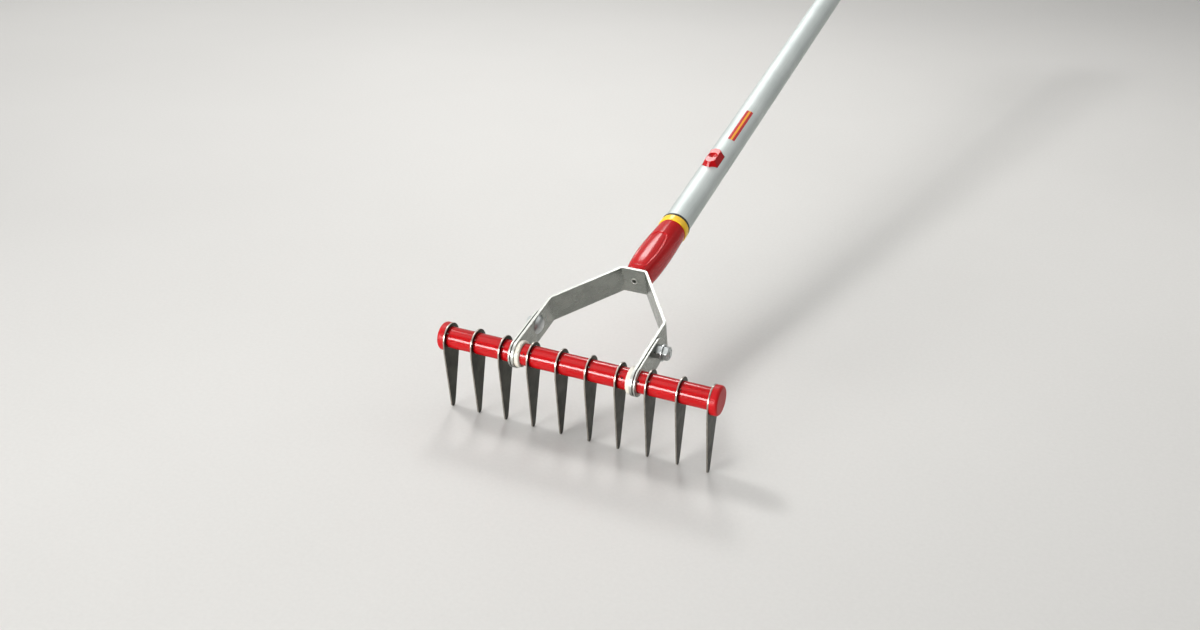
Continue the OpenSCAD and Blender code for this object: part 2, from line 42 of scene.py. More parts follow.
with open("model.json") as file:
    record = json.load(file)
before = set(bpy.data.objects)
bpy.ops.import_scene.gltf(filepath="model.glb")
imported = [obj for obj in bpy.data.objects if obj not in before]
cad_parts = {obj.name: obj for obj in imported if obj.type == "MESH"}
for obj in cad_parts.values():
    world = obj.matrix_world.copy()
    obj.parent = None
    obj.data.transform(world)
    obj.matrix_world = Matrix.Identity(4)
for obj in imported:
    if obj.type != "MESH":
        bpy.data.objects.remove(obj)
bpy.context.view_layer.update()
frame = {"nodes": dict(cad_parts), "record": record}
MM = 0.001
MERGE = 0.001 * MM  # points nearer than this are one point
PLAY = 0.1 * MM  # play of a bolt or a rivet in its hole
CREASE = math.radians(40)  # faces that meet more sharply than this keep their edge
FILL_SLANT = 0.3  # turn, in radians, that keeps the points of an outline from lying level

# The yoke and handle share a frame whose Y runs up the handle and whose Z is the upper side.
HANDLE_AXIS = Vector(next(m for m in frame["record"]["mounts"] if m["name"] == "grip")["axis"])
TILT = math.atan2(HANDLE_AXIS.z, HANDLE_AXIS.y)
HEAD = Matrix.Rotation(TILT, 4, "X")
# Turns a shape drawn in X and Y, thick along Z, so that it is drawn in Y and Z, thick along X.
ALONG_X = Matrix(((0, 0, 1, 0), (1, 0, 0, 0), (0, 1, 0, 0), (0, 0, 0, 1)))
SIDES = (("left", Matrix.Scale(-1, 4, Vector((1, 0, 0)))), ("right", Matrix.Identity(4)))


def head_box(node):
    """Lowest and highest corner of a CAD node in the frame of the yoke and handle."""
    turned = [HEAD.inverted() @ v.co for v in frame["nodes"][node].data.vertices]
    return [Vector(pick(axis) for axis in zip(*turned)) for pick in (min, max)]


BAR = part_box("bar_tube")
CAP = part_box("end_cap_right")
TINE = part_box("tine_01")
TINE_NODES = sorted(name for name in frame["nodes"] if name.startswith("tine_"))
TINE_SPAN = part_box(TINE_NODES[-1])[0].x - TINE[0].x
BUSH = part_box("bush_right")
YOKE = head_box("yoke")
STRAP = head_box("strap_right")
BOLTS = head_box("strap_bolts")
NUTS = head_box("strap_nuts")
WASHER = head_box("bolt_washer")
LOCK = head_box("lock_nut")
SOCKET = head_box("socket")
RING = head_box("collar_ring")
SEAL = head_box("seal_ring")
TUBE = head_box("handle_tube")
BUTTON = head_box("release_button")
SPRING = head_box("latch_spring")
GRIP = head_box("grip")
HANDLE_Z = (TUBE[0].z + TUBE[1].z) / 2
# Handle frame: Z runs up the handle's axis and -Y is its upper side.
HANDLE = HEAD @ Matrix.Translation((0, 0, HANDLE_Z)) @ Matrix.Rotation(-math.pi / 2, 4, "X")


def length(label, note, value):
    """A size in metres, shown in the sidebar."""
    return bpy.props.FloatProperty(name=label, description=note, default=value, unit="LENGTH", precision=5)


def angle(label, note, degrees):
    """An angle, shown in the sidebar in degrees."""
    return bpy.props.FloatProperty(
        name=label, description=note, default=math.radians(degrees), subtype="ANGLE")


def count(label, note, value):
    """A whole number, shown in the sidebar."""
    return bpy.props.IntProperty(name=label, description=note, default=value, subtype="UNSIGNED")


def share(label, note, value):
    """A plain ratio, shown in the sidebar."""
    return bpy.props.FloatProperty(name=label, description=note, default=value, subtype="FACTOR")


def watts(label, note, value):
    """The power of a light, shown in the sidebar."""
    return bpy.props.FloatProperty(name=label, description=note, default=value, unit="POWER")


class RakeBarSizes(bpy.types.PropertyGroup):
    """Sizes of the swinging bar, its tines and its caps."""
    bar_radius: length("Bar radius", "Outside radius of the bar's tube", BAR[1].z)
    bar_half: length("Bar half length", "Half the length of the bar's tube", BAR[1].x)
    bar_wall: length("Bar wall", "Wall of the bar's tube", 1.5 * MM)
    tines: count("Tines", "Number of tines on the bar", len(TINE_NODES))
    tine_thick: length("Tine thickness", "Thickness of a tine's plate", TINE[1].x - TINE[0].x)
    ring_radius: length("Ring radius", "Outside radius of a tine's ring", TINE[1].z)
    ring_play: length("Ring play", "Play between a tine's ring and the bar", 0.05 * MM)
    reach: length("Reach", "Distance from the bar's axis to a tine's tip", -TINE[0].z)
    tip_radius: length("Tip radius", "Radius of a tine's tip", 3.5 * MM)
    tip_lead: length("Tip lead", "How far a tine's tip lies in front of the bar's axis", 2.5 * MM)
    shoulder: length("Shoulder", "Distance from the bar's axis to where a tine starts to taper", 11 * MM)
    tine_edge: length("Tine edge", "Easing of a tine's sheared edges", 0.22 * MM)
    nib_angle: angle("Nib angle", "Place of the stake nibs round the bar", 136)
    nib_long: length("Nib length", "Half the length of a stake nib along the bar", 0.9 * MM)
    nib_wide: length("Nib width", "Half the width of a stake nib", 0.7 * MM)
    cap_radius: length("Cap radius", "Outside radius of an end cap", CAP[1].z)
    cap_end: length("Cap end", "Distance from the middle to a cap's face", CAP[1].x)
    cap_rim: length("Cap rim", "Radius of a cap's rounded rim", 2.8 * MM)
    plug_radius: length("Plug radius", "Radius of a cap's plug in the tube", 9.45 * MM)
    retainer_radius: length("Retainer radius", "Radius of a retaining pin", 1 * MM)
    retainer_proud: length("Retainer proud", "How far a retaining pin stands out", 0.6 * MM)
    retainer_angle: angle("Retainer angle", "Place of the retaining pins round the bar", 150)
    retainer_gap: length("Retainer gap", "Gap between a retaining pin and its strap", 0.6 * MM)
    retainer_in_gap: length("Inner retainer gap", "Gap between a retaining pin and its bush", 3.2 * MM)


class RakeYokeSizes(bpy.types.PropertyGroup):
    """Sizes of the bent yoke, its straps, bushes and fasteners."""
    strip_thick: length("Strip thickness", "Thickness of the yoke's flat bar", 3 * MM)
    strip_half: length("Strip half width", "Half the width of the flat bar", YOKE[1].z)
    leg_reach: length("Leg reach", "Distance from the bar's axis to the bend of a leg", 74.5 * MM)
    plate_half: length("Plate half length", "Half the length of the top plate", 13.5 * MM)
    bend_radius: length("Bend radius", "Radius of the bends, to the strip's middle", 4 * MM)
    edge: length("Edge", "Easing of the strip's sheared edges", 0.35 * MM)
    seat_radius: length("Seat radius", "Radius of the bush's hole in leg and strap", 12.73 * MM)
    bolt_reach: length("Bolt reach", "Distance from the bar's axis to a bolt", (NUTS[0].y + NUTS[1].y) / 2)
    bolt_rise: length("Bolt rise", "Height of a bolt over the strip's middle", (NUTS[0].z + NUTS[1].z) / 2)
    strap_reach: length(
        "Strap reach", "Distance from the bar's axis to a strap's round end", STRAP[1].y - YOKE[1].z)
    bolt_radius: length("Bolt radius", "Radius of a bolt's thread", 4 * MM)
    thread_pitch: length("Thread pitch", "Pitch of a bolt's thread", 1.25 * MM)
    head_radius: length("Head radius", "Radius of a bolt's round head", 10 * MM)
    head_height: length("Head height", "Height of a bolt's round head", 4.6 * MM)
    nut_flats: length("Nut flats", "Width of a nut across its flats", 13 * MM)
    lock_collar: length("Lock collar", "Height of the lock nut's round collar", 0.9 * MM)
    bush_bore: length("Bush bore", "Radius of a bush's bore", 11.08 * MM)
    sleeve_radius: length("Sleeve radius", "Outside radius of a bush's sleeve", 12.68 * MM)
    pin_room: length("Pin room", "Room for the stop pin in the sleeve", 3.7 * MM)
    rivet_radius: length("Rivet radius", "Radius of the tubular rivet", 3 * MM)
    rivet_bore: length("Rivet bore", "Radius of the rivet's hole", 2.2 * MM)
    rivet_head: length("Rivet head", "How far the rivet's rolled head spreads and stands out", 0.6 * MM)


class RakeSocketSizes(bpy.types.PropertyGroup):
    """Sizes of the moulded socket and the rings above it."""
    foot: length("Foot", "Distance from the bar's axis to the socket's foot", SOCKET[0].y)
    neck: length("Neck", "Distance from the bar's axis to the socket's shoulder", RING[0].y)
    foot_width: length("Foot width", "Width of the foot", 23 * MM)
    foot_height: length("Foot height", "Height of the foot", 27.5 * MM)
    foot_rise: length("Foot rise", "Height of the foot's middle over the strip's middle", -1 * MM)
    neck_width: length("Neck width", "Diameter at the shoulder", 32 * MM)
    belly: length("Belly", "Swell between foot and neck", 3.5 * MM)
    belly_skew: share("Belly skew", "Lean of the swell towards the foot", 0.65)
    squareness: share("Squareness", "Power of the foot's rounded square, where 2 is an ellipse", 2.8)
    lip: length("Lip", "How far the foot's lip stands out", 0.7 * MM)
    lip_long: length("Lip length", "Length of the foot's lip", 4 * MM)
    panel_deep: length("Panel depth", "Depth of the sunken panel at its top edge", 1.1 * MM)
    panel_step: length("Panel step", "Width of the panel's steep edge", 1.2 * MM)
    panel_top: length("Panel top", "Distance from the shoulder to the panel's top edge", 28 * MM)
    panel_low: length("Panel low", "Distance from the foot to the panel's lower edge", 8 * MM)
    panel_wide: length("Panel wide", "Half the width of the panel half way down", 11.5 * MM)
    panel_narrow: length("Panel narrow", "Half the width of the panel at its ends", 8.0 * MM)
    panel_corner: length("Panel corner", "Radius of the panel's corners", 5 * MM)
    rivet_room: length("Rivet room", "Radius of the rivet's hole in the foot", 3.1 * MM)
    rivet_deep: length("Rivet depth", "Depth of the rivet's hole in the foot", 16 * MM)
    spigot_radius: length("Spigot radius", "Radius of the spigot in the handle", 13.8 * MM)
    spigot_flat: length("Spigot flat", "Height of the spigot's flat over the handle's axis", 2.6 * MM)
    ring_radius: length("Ring radius", "Outside radius of the rings", RING[1].x)
    ring_bore: length("Ring bore", "Radius of the rings' bore", 14 * MM)
    ring_edge: length("Ring edge", "Radius of the yellow ring's edges", 0.9 * MM)
    seal_edge: length("Seal edge", "Radius of the black ring's edges", 0.4 * MM)


class RakeHandleSizes(bpy.types.PropertyGroup):
    """Sizes of the handle, its button, label, grip and hanging eye."""
    radius: length("Radius", "Outside radius of the handle tube", TUBE[1].x)
    wall: length("Wall", "Wall of the handle tube", 1.5 * MM)
    low: length("Lower end", "Distance from the bar's axis to the tube's lower end", TUBE[0].y)
    high: length("Upper end", "Distance from the bar's axis to the tube's upper end", TUBE[1].y)
    button_at: length(
        "Button place", "Distance from the bar's axis to the button", (BUTTON[0].y + BUTTON[1].y) / 2)
    button_width: length("Button width", "Width of the button at its base", 19.2 * MM)
    button_long: length("Button length", "Length of the button at its base", 40 * MM)
    button_cut: length("Button cut", "Cut across each corner of the button's base", 7.5 * MM)
    face_width: length("Face width", "Width of the button's upper face", 13 * MM)
    face_long: length("Face length", "Length of the button's upper face", 31.5 * MM)
    face_cut: length("Face cut", "Cut across each corner of the button's upper face", 4.5 * MM)
    button_top: length("Button top", "Height of the button over the handle's axis", BUTTON[1].z - HANDLE_Z)
    button_foot: length("Button foot", "Height of the button's underside in the tube", 11 * MM)
    button_wall: length("Button wall", "Wall of the hollow button", 1.8 * MM)
    button_edge: length("Button edge", "Radius of the button's upper edge", 0.8 * MM)
    button_gap: length("Button gap", "Gap between the button and its window", 0.35 * MM)
    dish_radius: length("Dish radius", "Radius of the finger dish", 5.6 * MM)
    dish_depth: length("Dish depth", "Depth of the finger dish", 2.2 * MM)
    label_low: length("Label low end", "Distance from the bar's axis to the label", 431 * MM)
    label_high: length("Label high end", "Distance from the bar's axis to the label's far end", 502 * MM)
    label_half: angle("Label half width", "Half the label's width round the tube", 16.5)
    label_turn: angle("Label turn", "Place of the label round the tube, from the crest", 19.5)
    label_thick: length("Label thickness", "Thickness of the vinyl", 0.12 * MM)
    grip_low: length("Grip low end", "Distance from the bar's axis to the grip", GRIP[0].y)
    grip_radius: length("Grip radius", "Outside radius of the grip", GRIP[1].x)
    grip_bore: length("Grip bore", "Radius of the grip's bore", 15.7 * MM)
    rib_pitch: length("Rib pitch", "Distance between the grip's ribs", 6 * MM)
    rib_radius: length("Rib radius", "Radius of a rib's section", 1.5 * MM)
    eye_radius: length("Eye radius", "Outside radius of the hanging eye", 11 * MM)
    eye_hole: length("Eye hole", "Radius of the hanging hole", 5 * MM)
    eye_half: length("Eye half thickness", "Half the thickness of the hanging eye", 7 * MM)
    flange_radius: length("Flange radius", "Radius of the end plug's flange", 16.7 * MM)
    flange_thick: length("Flange thickness", "Thickness of the end plug's flange", 4 * MM)


class RakeStageSettings(bpy.types.PropertyGroup):
    """Camera, floor and lights."""
    azimuth: angle("Azimuth", "Camera's turn from the front to the right", 24.62)
    elevation: angle("Elevation", "Camera's height angle", 27.28)
    roll: angle("Roll", "Camera's roll", 0.52)
    distance: length("Distance", "Camera's distance along its view", 1189.44 * MM)
    shift_right: length("Shift right", "Camera's place to the right of the origin", 23.07 * MM)
    shift_up: length("Shift up", "Camera's place above the origin", 50.31 * MM)
    lens: bpy.props.FloatProperty(
        name="Lens", description="Focal length in millimetres on a 36 mm wide sensor", default=36.674,
        subtype="DISTANCE_CAMERA")
    floor_half: length("Floor half width", "Half the width of the floor", 8.0)
    floor_drop: length("Floor drop", "Gap between the tips and the floor", 0.15 * MM)
    sky: share("Sky", "Strength of the even light from all round", 0.3)
    backdrop: share("Backdrop", "Strength of the pale background that is seen and mirrored", 0.42)
    key: watts("Key", "Power of the small high key light", 53)
    front: watts("Front strip", "Power of the long light low in front", 5)
    front_beam: angle(
        "Front beam", "Full angle of the front strip's beam, which keeps it off the floor below", 44)
    left: watts("Left panel", "Power of the broad panel behind on the left", 4.0)
    back: watts("Back panel", "Power of the broad panel high behind", 7.5)
    right: watts("Right panel", "Power of the panel behind on the right", 3.4)
    side: watts("Side panel", "Power of the panel on the right", 3.0)
    spot: watts("Spot panel", "Power of the small bright panel between them", 7.5)
    panel: watts("Panel", "Power of the broad soft panel overhead", 9)


# Outlines and solids

def rounded(corners, steps=6):
    """Outline from (x, y, radius) corners, with each corner turned into an arc."""
    points = []
    for i, (x, y, radius) in enumerate(corners):
        corner = Vector((x, y))
        if radius == 0:
            points.append(corner)
            continue
        back = (Vector(corners[i - 1][:2]) - corner).normalized()
        on = (Vector(corners[(i + 1) % len(corners)][:2]) - corner).normalized()
        half = back.angle(on) / 2
        centre = corner + (back + on).normalized() * radius / math.sin(half)
        start, end = (math.atan2(*(corner + side * radius / math.tan(half) - centre).yx)
                      for side in (back, on))
        turn = (end - start + math.pi) % math.tau - math.pi
        points += arc(centre, radius, start, start + turn, steps)
    return points


def arc(centre, radius, start, end, steps):
    """Points along an arc, both ends included, with its angles in radians."""
    angles = [start + (end - start) * k / steps for k in range(steps + 1)]
    return [Vector(centre) + radius * Vector((math.cos(a), math.sin(a))) for a in angles]


def circle(radius, steps):
    """A round outline about the origin."""
    return arc((0, 0), radius, 0, math.tau, steps)[:-1]


def hole(centre, radius, steps=64):
    """A round hole, drawn clockwise so that the material lies on its left."""
    return arc(centre, radius, 0, -math.tau, steps)[:-1]


def round_ended(half, reach):
    """Outline of a strip along X, with its round ends about the origin and a point at this reach."""
    low = arc((0, 0), half, math.pi / 2, 3 * math.pi / 2, steps=48)
    return low + arc((reach, 0), half, -math.pi / 2, math.pi / 2, steps=48)


def band(inner, outer, low, high, edge=0, inner_edge=0):
    """Profile of a plain ring in (radius, height), with rounded edges."""
    return rounded([(inner, low, inner_edge), (outer, low, edge),
                    (outer, high, edge), (inner, high, inner_edge)])


def inset(loop, depth):
    """An outline moved towards the material, on the left of its direction."""
    moved = []
    for i, point in enumerate(loop):
        back = (point - loop[i - 1]).normalized()
        on = (loop[(i + 1) % len(loop)] - point).normalized()
        way = (back + on).normalized()
        moved.append(point + Vector((-way.y, way.x)) * depth / max(way.dot(on), 0.5))
    return moved


def stack(bm, levels):
    """Rings of vertices from (outline, height) levels."""
    return [[bm.verts.new((*point, height)) for point in outline] for outline, height in levels]


def edges_of(bm, *rings):
    """The edges round rings of vertices."""
    return [bm.edges.get(pair) for ring in rings for pair in zip(ring, ring[1:] + ring[:1])]


def slice_at(bm, x, merge=0.0):
    """Cut every face of a bmesh at a place along X."""
    everything = bm.verts[:] + bm.edges[:] + bm.faces[:]
    bmesh.ops.bisect_plane(bm, geom=everything, dist=merge, plane_co=(x, 0, 0), plane_no=(1, 0, 0))


def skin(bm, rings, closed=False):
    """Faces between rings of the same count; a ring of one repeated vertex closes to a point."""
    faces = []
    for low, high in zip(rings, rings[1:] + (rings[:1] if closed else [])):
        for i in range(len(low)):
            j = (i + 1) % len(low)
            corners = list(dict.fromkeys((low[i], low[j], high[j], high[i])))
            if len(corners) > 2:
                faces.append(bm.faces.new(corners))
    return faces


def revolve(profile, steps=128):
    """A solid turned about Z from (radius, height) points. A profile off the axis makes a ring."""
    bm = bmesh.new()
    rings = []
    for radius, height in profile:
        spokes = steps if radius > MERGE else 1
        ring = [bm.verts.new((*(radius * Vector((math.cos(a), math.sin(a)))), height))
                for a in (math.tau * k / steps for k in range(spokes))]
        rings.append(ring * (steps // spokes))
    skin(bm, rings, closed=all(radius > MERGE for radius, height in profile))
    return bm


def plate(loops, low, high, ease):
    """A plate between two heights, from an outline and its holes, with eased edges.
    Its rims take finish 1."""
    bm = bmesh.new()
    middle = 0.29
    eased = [(1, 0), (middle, middle), (0, 1)]
    levels = [(ease * part, low + ease * rise) for part, rise in eased]
    levels += [(ease * part, high - ease * rise) for part, rise in reversed(eased)]
    ends = ([], [])
    for loop in loops:
        rings = stack(bm, [(inset(loop, depth), height) for depth, height in levels])
        for face in skin(bm, rings):
            face.material_index = 1
        for end, ring in zip(ends, (rings[0], rings[-1])):
            end += edges_of(bm, ring)
    # The fill joins near points and trips on level ones, so it works in millimetres and at a slant.
    slant = Matrix.Rotation(FILL_SLANT, 4, "Z") @ Matrix.Scale(1 / MM, 4)
    bm.transform(slant)
    for end in ends:
        bmesh.ops.triangle_fill(bm, edges=end, use_beauty=True)
    bm.transform(slant.inverted())
    return bm


def joined(*parts):
    """One bmesh from several (bmesh, matrix) parts."""
    whole = bmesh.new()
    for part, matrix in parts:
        part.transform(matrix)
        if matrix.is_negative:
            bmesh.ops.reverse_faces(part, faces=part.faces)
        spare = bpy.data.meshes.new("spare")
        part.to_mesh(spare)
        part.free()
        whole.from_mesh(spare)
        bpy.data.meshes.remove(spare)
    return whole


def mark_run(bm):
    """Keep the flat X and Y of every corner as the UV map along which the metal was rolled."""
    layer = bm.loops.layers.uv.new("run")
    for face in bm.faces:
        for loop in face.loops:
            loop[layer].uv = loop.vert.co.xy


def settle(obj):
    """Apply an object's modifiers and keep the result as its plain mesh."""
    graph = bpy.context.evaluated_depsgraph_get()
    shaped = bpy.data.meshes.new_from_object(
        obj.evaluated_get(graph), preserve_all_data_layers=True, depsgraph=graph)
    obj.modifiers.clear()
    obj.data = shaped
    return obj


def shown(name, data):
    """An object of the scene with this data."""
    obj = bpy.data.objects.new(name, data)
    bpy.context.scene.collection.objects.link(obj)
    return obj


def blank(name):
    """An empty object of the scene, for a geometry tree to fill."""
    return shown(name, bpy.data.meshes.new(name))


def solid(name, bm, finishes, place=Matrix.Identity(4)):
    """An object from a bmesh, moved into place, with smooth faces up to a crease angle."""
    bm.transform(place)
    bmesh.ops.remove_doubles(bm, verts=bm.verts, dist=MERGE)
    bmesh.ops.dissolve_degenerate(bm, edges=bm.edges, dist=MERGE)
    bmesh.ops.recalc_face_normals(bm, faces=bm.faces)
    if bm.calc_volume(signed=True) < 0:
        bmesh.ops.reverse_faces(bm, faces=bm.faces)
    mesh = bpy.data.meshes.new(name)
    bm.to_mesh(mesh)
    bm.free()
    for finish in finishes:
        mesh.materials.append(bpy.data.materials[finish])
    mesh.shade_smooth()
    mesh.set_sharp_from_angle(angle=CREASE)
    return shown(name, mesh)


def even_shade(obj):
    """Let the large faces set the shading, so that flat faces look flat beside eased edges."""
    obj.modifiers.new("Even shade", "WEIGHTED_NORMAL").keep_sharp = True
    return settle(obj)


def fit(obj, body, slot, *nodes):
    """Give a finished piece its body, and let it stand for CAD nodes, which are hidden. The slot is not
    used.
    """
    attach(obj, body)
    if nodes:
        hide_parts(*nodes)
    return obj


def made(name, bm, finishes, body, slot, *nodes, place=Matrix.Identity(4)):
    """A finished piece from a bmesh, with even shading, fitted to its body and standing for its CAD nodes.
    """
    return fit(even_shade(solid(name, bm, finishes, place)), body, slot, *nodes)


# Node trees

def feed(tree, node, inputs):
    """Give each named input of a node a link or a plain value."""
    for key, value in inputs.items():
        if isinstance(value, bpy.types.NodeSocket):
            tree.links.new(value, node.inputs[key])
        else:
            node.inputs[key].default_value = value
    return node


def add(tree, kind, inputs=None, **settings):
    """Add a node with its settings and its inputs."""
    node = tree.nodes.new(kind)
    for key, value in settings.items():
        setattr(node, key, value)
    return feed(tree, node, inputs or {})


def shape_tree(name, sockets):
    """An empty geometry tree with named inputs, and the node that gives them."""
    tree = bpy.data.node_groups.new(name, "GeometryNodeTree")
    for label, kind in sockets.items():
        tree.interface.new_socket(label, in_out="INPUT", socket_type="NodeSocket" + kind)
    tree.interface.new_socket("Geometry", in_out="OUTPUT", socket_type="NodeSocketGeometry")
    return tree, add(tree, "NodeGroupInput").outputs


def grown(obj, tree, values):
    """Run a geometry tree on an object with these input values and keep the mesh that it makes."""
    modifier = obj.modifiers.new(tree.name, "NODES")
    modifier.node_group = tree
    for item in tree.interface.items_tree:
        if item.in_out == "INPUT" and item.name in values:
            modifier[item.identifier] = values[item.name]
    return settle(obj)


def toward(tree, axis, amount):
    """A vector of this length along an axis."""
    return add(tree, "ShaderNodeCombineXYZ", {axis: amount}).outputs[0]


def row_of(tree, given, axis, start, item, **more):
    """Copies of a geometry in a row along an axis, made real."""
    line = add(tree, "GeometryNodeMeshLine", {
        "Count": given["Count"], "Start Location": start, "Offset": toward(tree, axis, given["Pitch"])})
    row = add(tree, "GeometryNodeInstanceOnPoints", {"Points": line.outputs[0], "Instance": item, **more})
    return add(tree, "GeometryNodeRealizeInstances", {"Geometry": row.outputs[0]})


def swept(tree, path, section, sides, caps=False):
    """A round section of this radius, swept along a path."""
    profile = add(tree, "GeometryNodeCurvePrimitiveCircle", {"Resolution": sides, "Radius": section})
    return add(tree, "GeometryNodeCurveToMesh", {
        "Curve": path.outputs[0], "Profile Curve": profile.outputs[0], "Fill Caps": caps})


def dressed(tree, shape, finish, smooth=False, **more):
    """End a tree with a geometry in its finish."""
    if smooth:
        shape = add(tree, "GeometryNodeSetShadeSmooth", {"Geometry": shape.outputs[0]})
    shape = add(tree, "GeometryNodeSetMaterial", {"Geometry": shape.outputs[0], "Material": finish, **more})
    add(tree, "NodeGroupOutput", {"Geometry": shape.outputs[0]})
    return tree


def row_tree():
    """Copies of the object's own mesh in a row along X, with the rims in their own finish."""
    tree, given = shape_tree("Row along the bar", {
        "Geometry": "Geometry", "Count": "Int", "Start": "Float", "Pitch": "Float",
        "Rim finish": "Material"})
    row = row_of(tree, given, "X", toward(tree, "X", given["Start"]), given["Geometry"])
    index = add(tree, "GeometryNodeInputMaterialIndex").outputs[0]
    is_rim = add(tree, "FunctionNodeCompare", {2: index, 3: 1}, data_type="INT", operation="EQUAL")
    return dressed(tree, row, given["Rim finish"], Selection=is_rim.outputs[0])


def nib_tree():
    """Small uneven stake nibs in a row along the bar."""
    tree, given = shape_tree("Stake nibs", {
        "Count": "Int", "Start": "Vector", "Pitch": "Float", "Least size": "Vector", "Most size": "Vector",
        "Turn": "Vector", "Seed": "Int", "Finish": "Material"})
    nib = add(tree, "GeometryNodeMeshUVSphere", {"Segments": 24, "Rings": 14, "Radius": 1.0})
    sizes = add(tree, "FunctionNodeRandomValue", {
        0: given["Least size"], 1: given["Most size"], "Seed": given["Seed"]}, data_type="FLOAT_VECTOR")
    row = row_of(tree, given, "X", given["Start"], nib.outputs[0],
                 Rotation=given["Turn"], Scale=sizes.outputs[0])
    return dressed(tree, row, given["Finish"], smooth=True)


def rib_tree():
    """Round ribs at even steps along Z."""
    tree, given = shape_tree("Ribs", {
        "Count": "Int", "Start": "Float", "Pitch": "Float", "Radius": "Float", "Section": "Float",
        "Finish": "Material"})
    path = add(tree, "GeometryNodeCurvePrimitiveCircle", {"Resolution": 128, "Radius": given["Radius"]})
    rib = swept(tree, path, given["Section"], 16)
    row = row_of(tree, given, "Z", toward(tree, "Z", given["Start"]), rib.outputs[0])
    return dressed(tree, row, given["Finish"], smooth=True)


def thread_tree():
    """A screw thread that climbs along Z."""
    tree, given = shape_tree("Screw thread", {
        "Turns": "Float", "Radius": "Float", "Height": "Float", "Section": "Float", "Finish": "Material"})
    path = add(tree, "GeometryNodeCurveSpiral", {
        "Resolution": 48, "Rotations": given["Turns"], "Start Radius": given["Radius"],
        "End Radius": given["Radius"], "Height": given["Height"]})
    coil = swept(tree, path, given["Section"], 6, caps=True)
    real = add(tree, "GeometryNodeRealizeInstances", {"Geometry": coil.outputs[0]})
    return dressed(tree, real, given["Finish"])


# Finishes

def colour(code):
    """Linear colour from an sRGB hex code."""
    parts = [int(code[i:i + 2], 16) / 255 for i in (0, 2, 4)]
    return [c / 12.92 if c <= 0.04045 else ((c + 0.055) / 1.055) ** 2.4 for c in parts] + [1.0]


def grained(name, tones, gloss, drift, grain, relief, stretch=(1, 1, 1), turn=0.0, uv=False,
            metallic=0.0, specular=0.5):
    """A finish with a slow drift between two tones, a range of roughness, and a fine grain in relief.
    Drift, grain and relief are in millimetres, and stretch draws the grain out along an axis."""
    material = bpy.data.materials.new(name)
    material.use_nodes = True
    tree = material.node_tree
    coords = add(tree, "ShaderNodeTexCoord").outputs["UV" if uv else "Object"]
    along = add(tree, "ShaderNodeMapping", {
        "Vector": coords, "Rotation": (turn, 0, 0), "Scale": stretch}, vector_type="TEXTURE").outputs[0]
    slow, fine = (
        add(tree, "ShaderNodeTexNoise", {
            "Vector": way, "Scale": 1 / (size * MM), "Detail": detail}).outputs[0]
        for way, size, detail in ((coords, drift, 3), (along, grain, 2)))
    grain_share = 0.4
    both = add(tree, "ShaderNodeMix", {0: grain_share, 2: slow, 3: fine}).outputs[0]
    # Noise keeps to the middle of its range, so that middle is spread over the whole.
    middle = {"Value": both, "From Min": 0.3, "From Max": 0.7}
    tint = add(tree, "ShaderNodeMapRange", middle).outputs[0]
    rough = add(tree, "ShaderNodeMapRange", {**middle, "To Min": gloss[0], "To Max": gloss[1]}).outputs[0]
    tone = add(tree, "ShaderNodeMix", {0: tint, 6: colour(tones[0]), 7: colour(tones[1])}, data_type="RGBA")
    bump = add(tree, "ShaderNodeBump", {"Height": fine, "Distance": relief * MM}).outputs[0]
    feed(tree, tree.nodes["Principled BSDF"], {
        "Base Color": tone.outputs[2], "Roughness": rough, "Normal": bump, "Metallic": metallic,
        "Specular IOR Level": specular})
    return tree


def striped_vinyl():
    """Red vinyl with a plain yellow stripe, for the label's place on the handle."""
    stripe_half = 1.3 * MM
    tree = grained("striped_vinyl", ("c4141c", "b50f18"), (0.28, 0.38), 20, 0.8, 0.004, uv=True)
    shader = tree.nodes["Principled BSDF"]
    red = shader.inputs["Base Color"].links[0].from_socket
    coords = add(tree, "ShaderNodeTexCoord").outputs["UV"]
    across = add(tree, "ShaderNodeSeparateXYZ", {"Vector": coords}).outputs["X"]
    off = add(tree, "ShaderNodeMath", {0: across}, operation="ABSOLUTE").outputs[0]
    inside = add(tree, "ShaderNodeMath", {0: off, 1: stripe_half}, operation="LESS_THAN").outputs[0]
    tone = add(tree, "ShaderNodeMix", {0: inside, 6: red, 7: colour("f0a51c")}, data_type="RGBA")
    feed(tree, shader, {"Base Color": tone.outputs[2]})


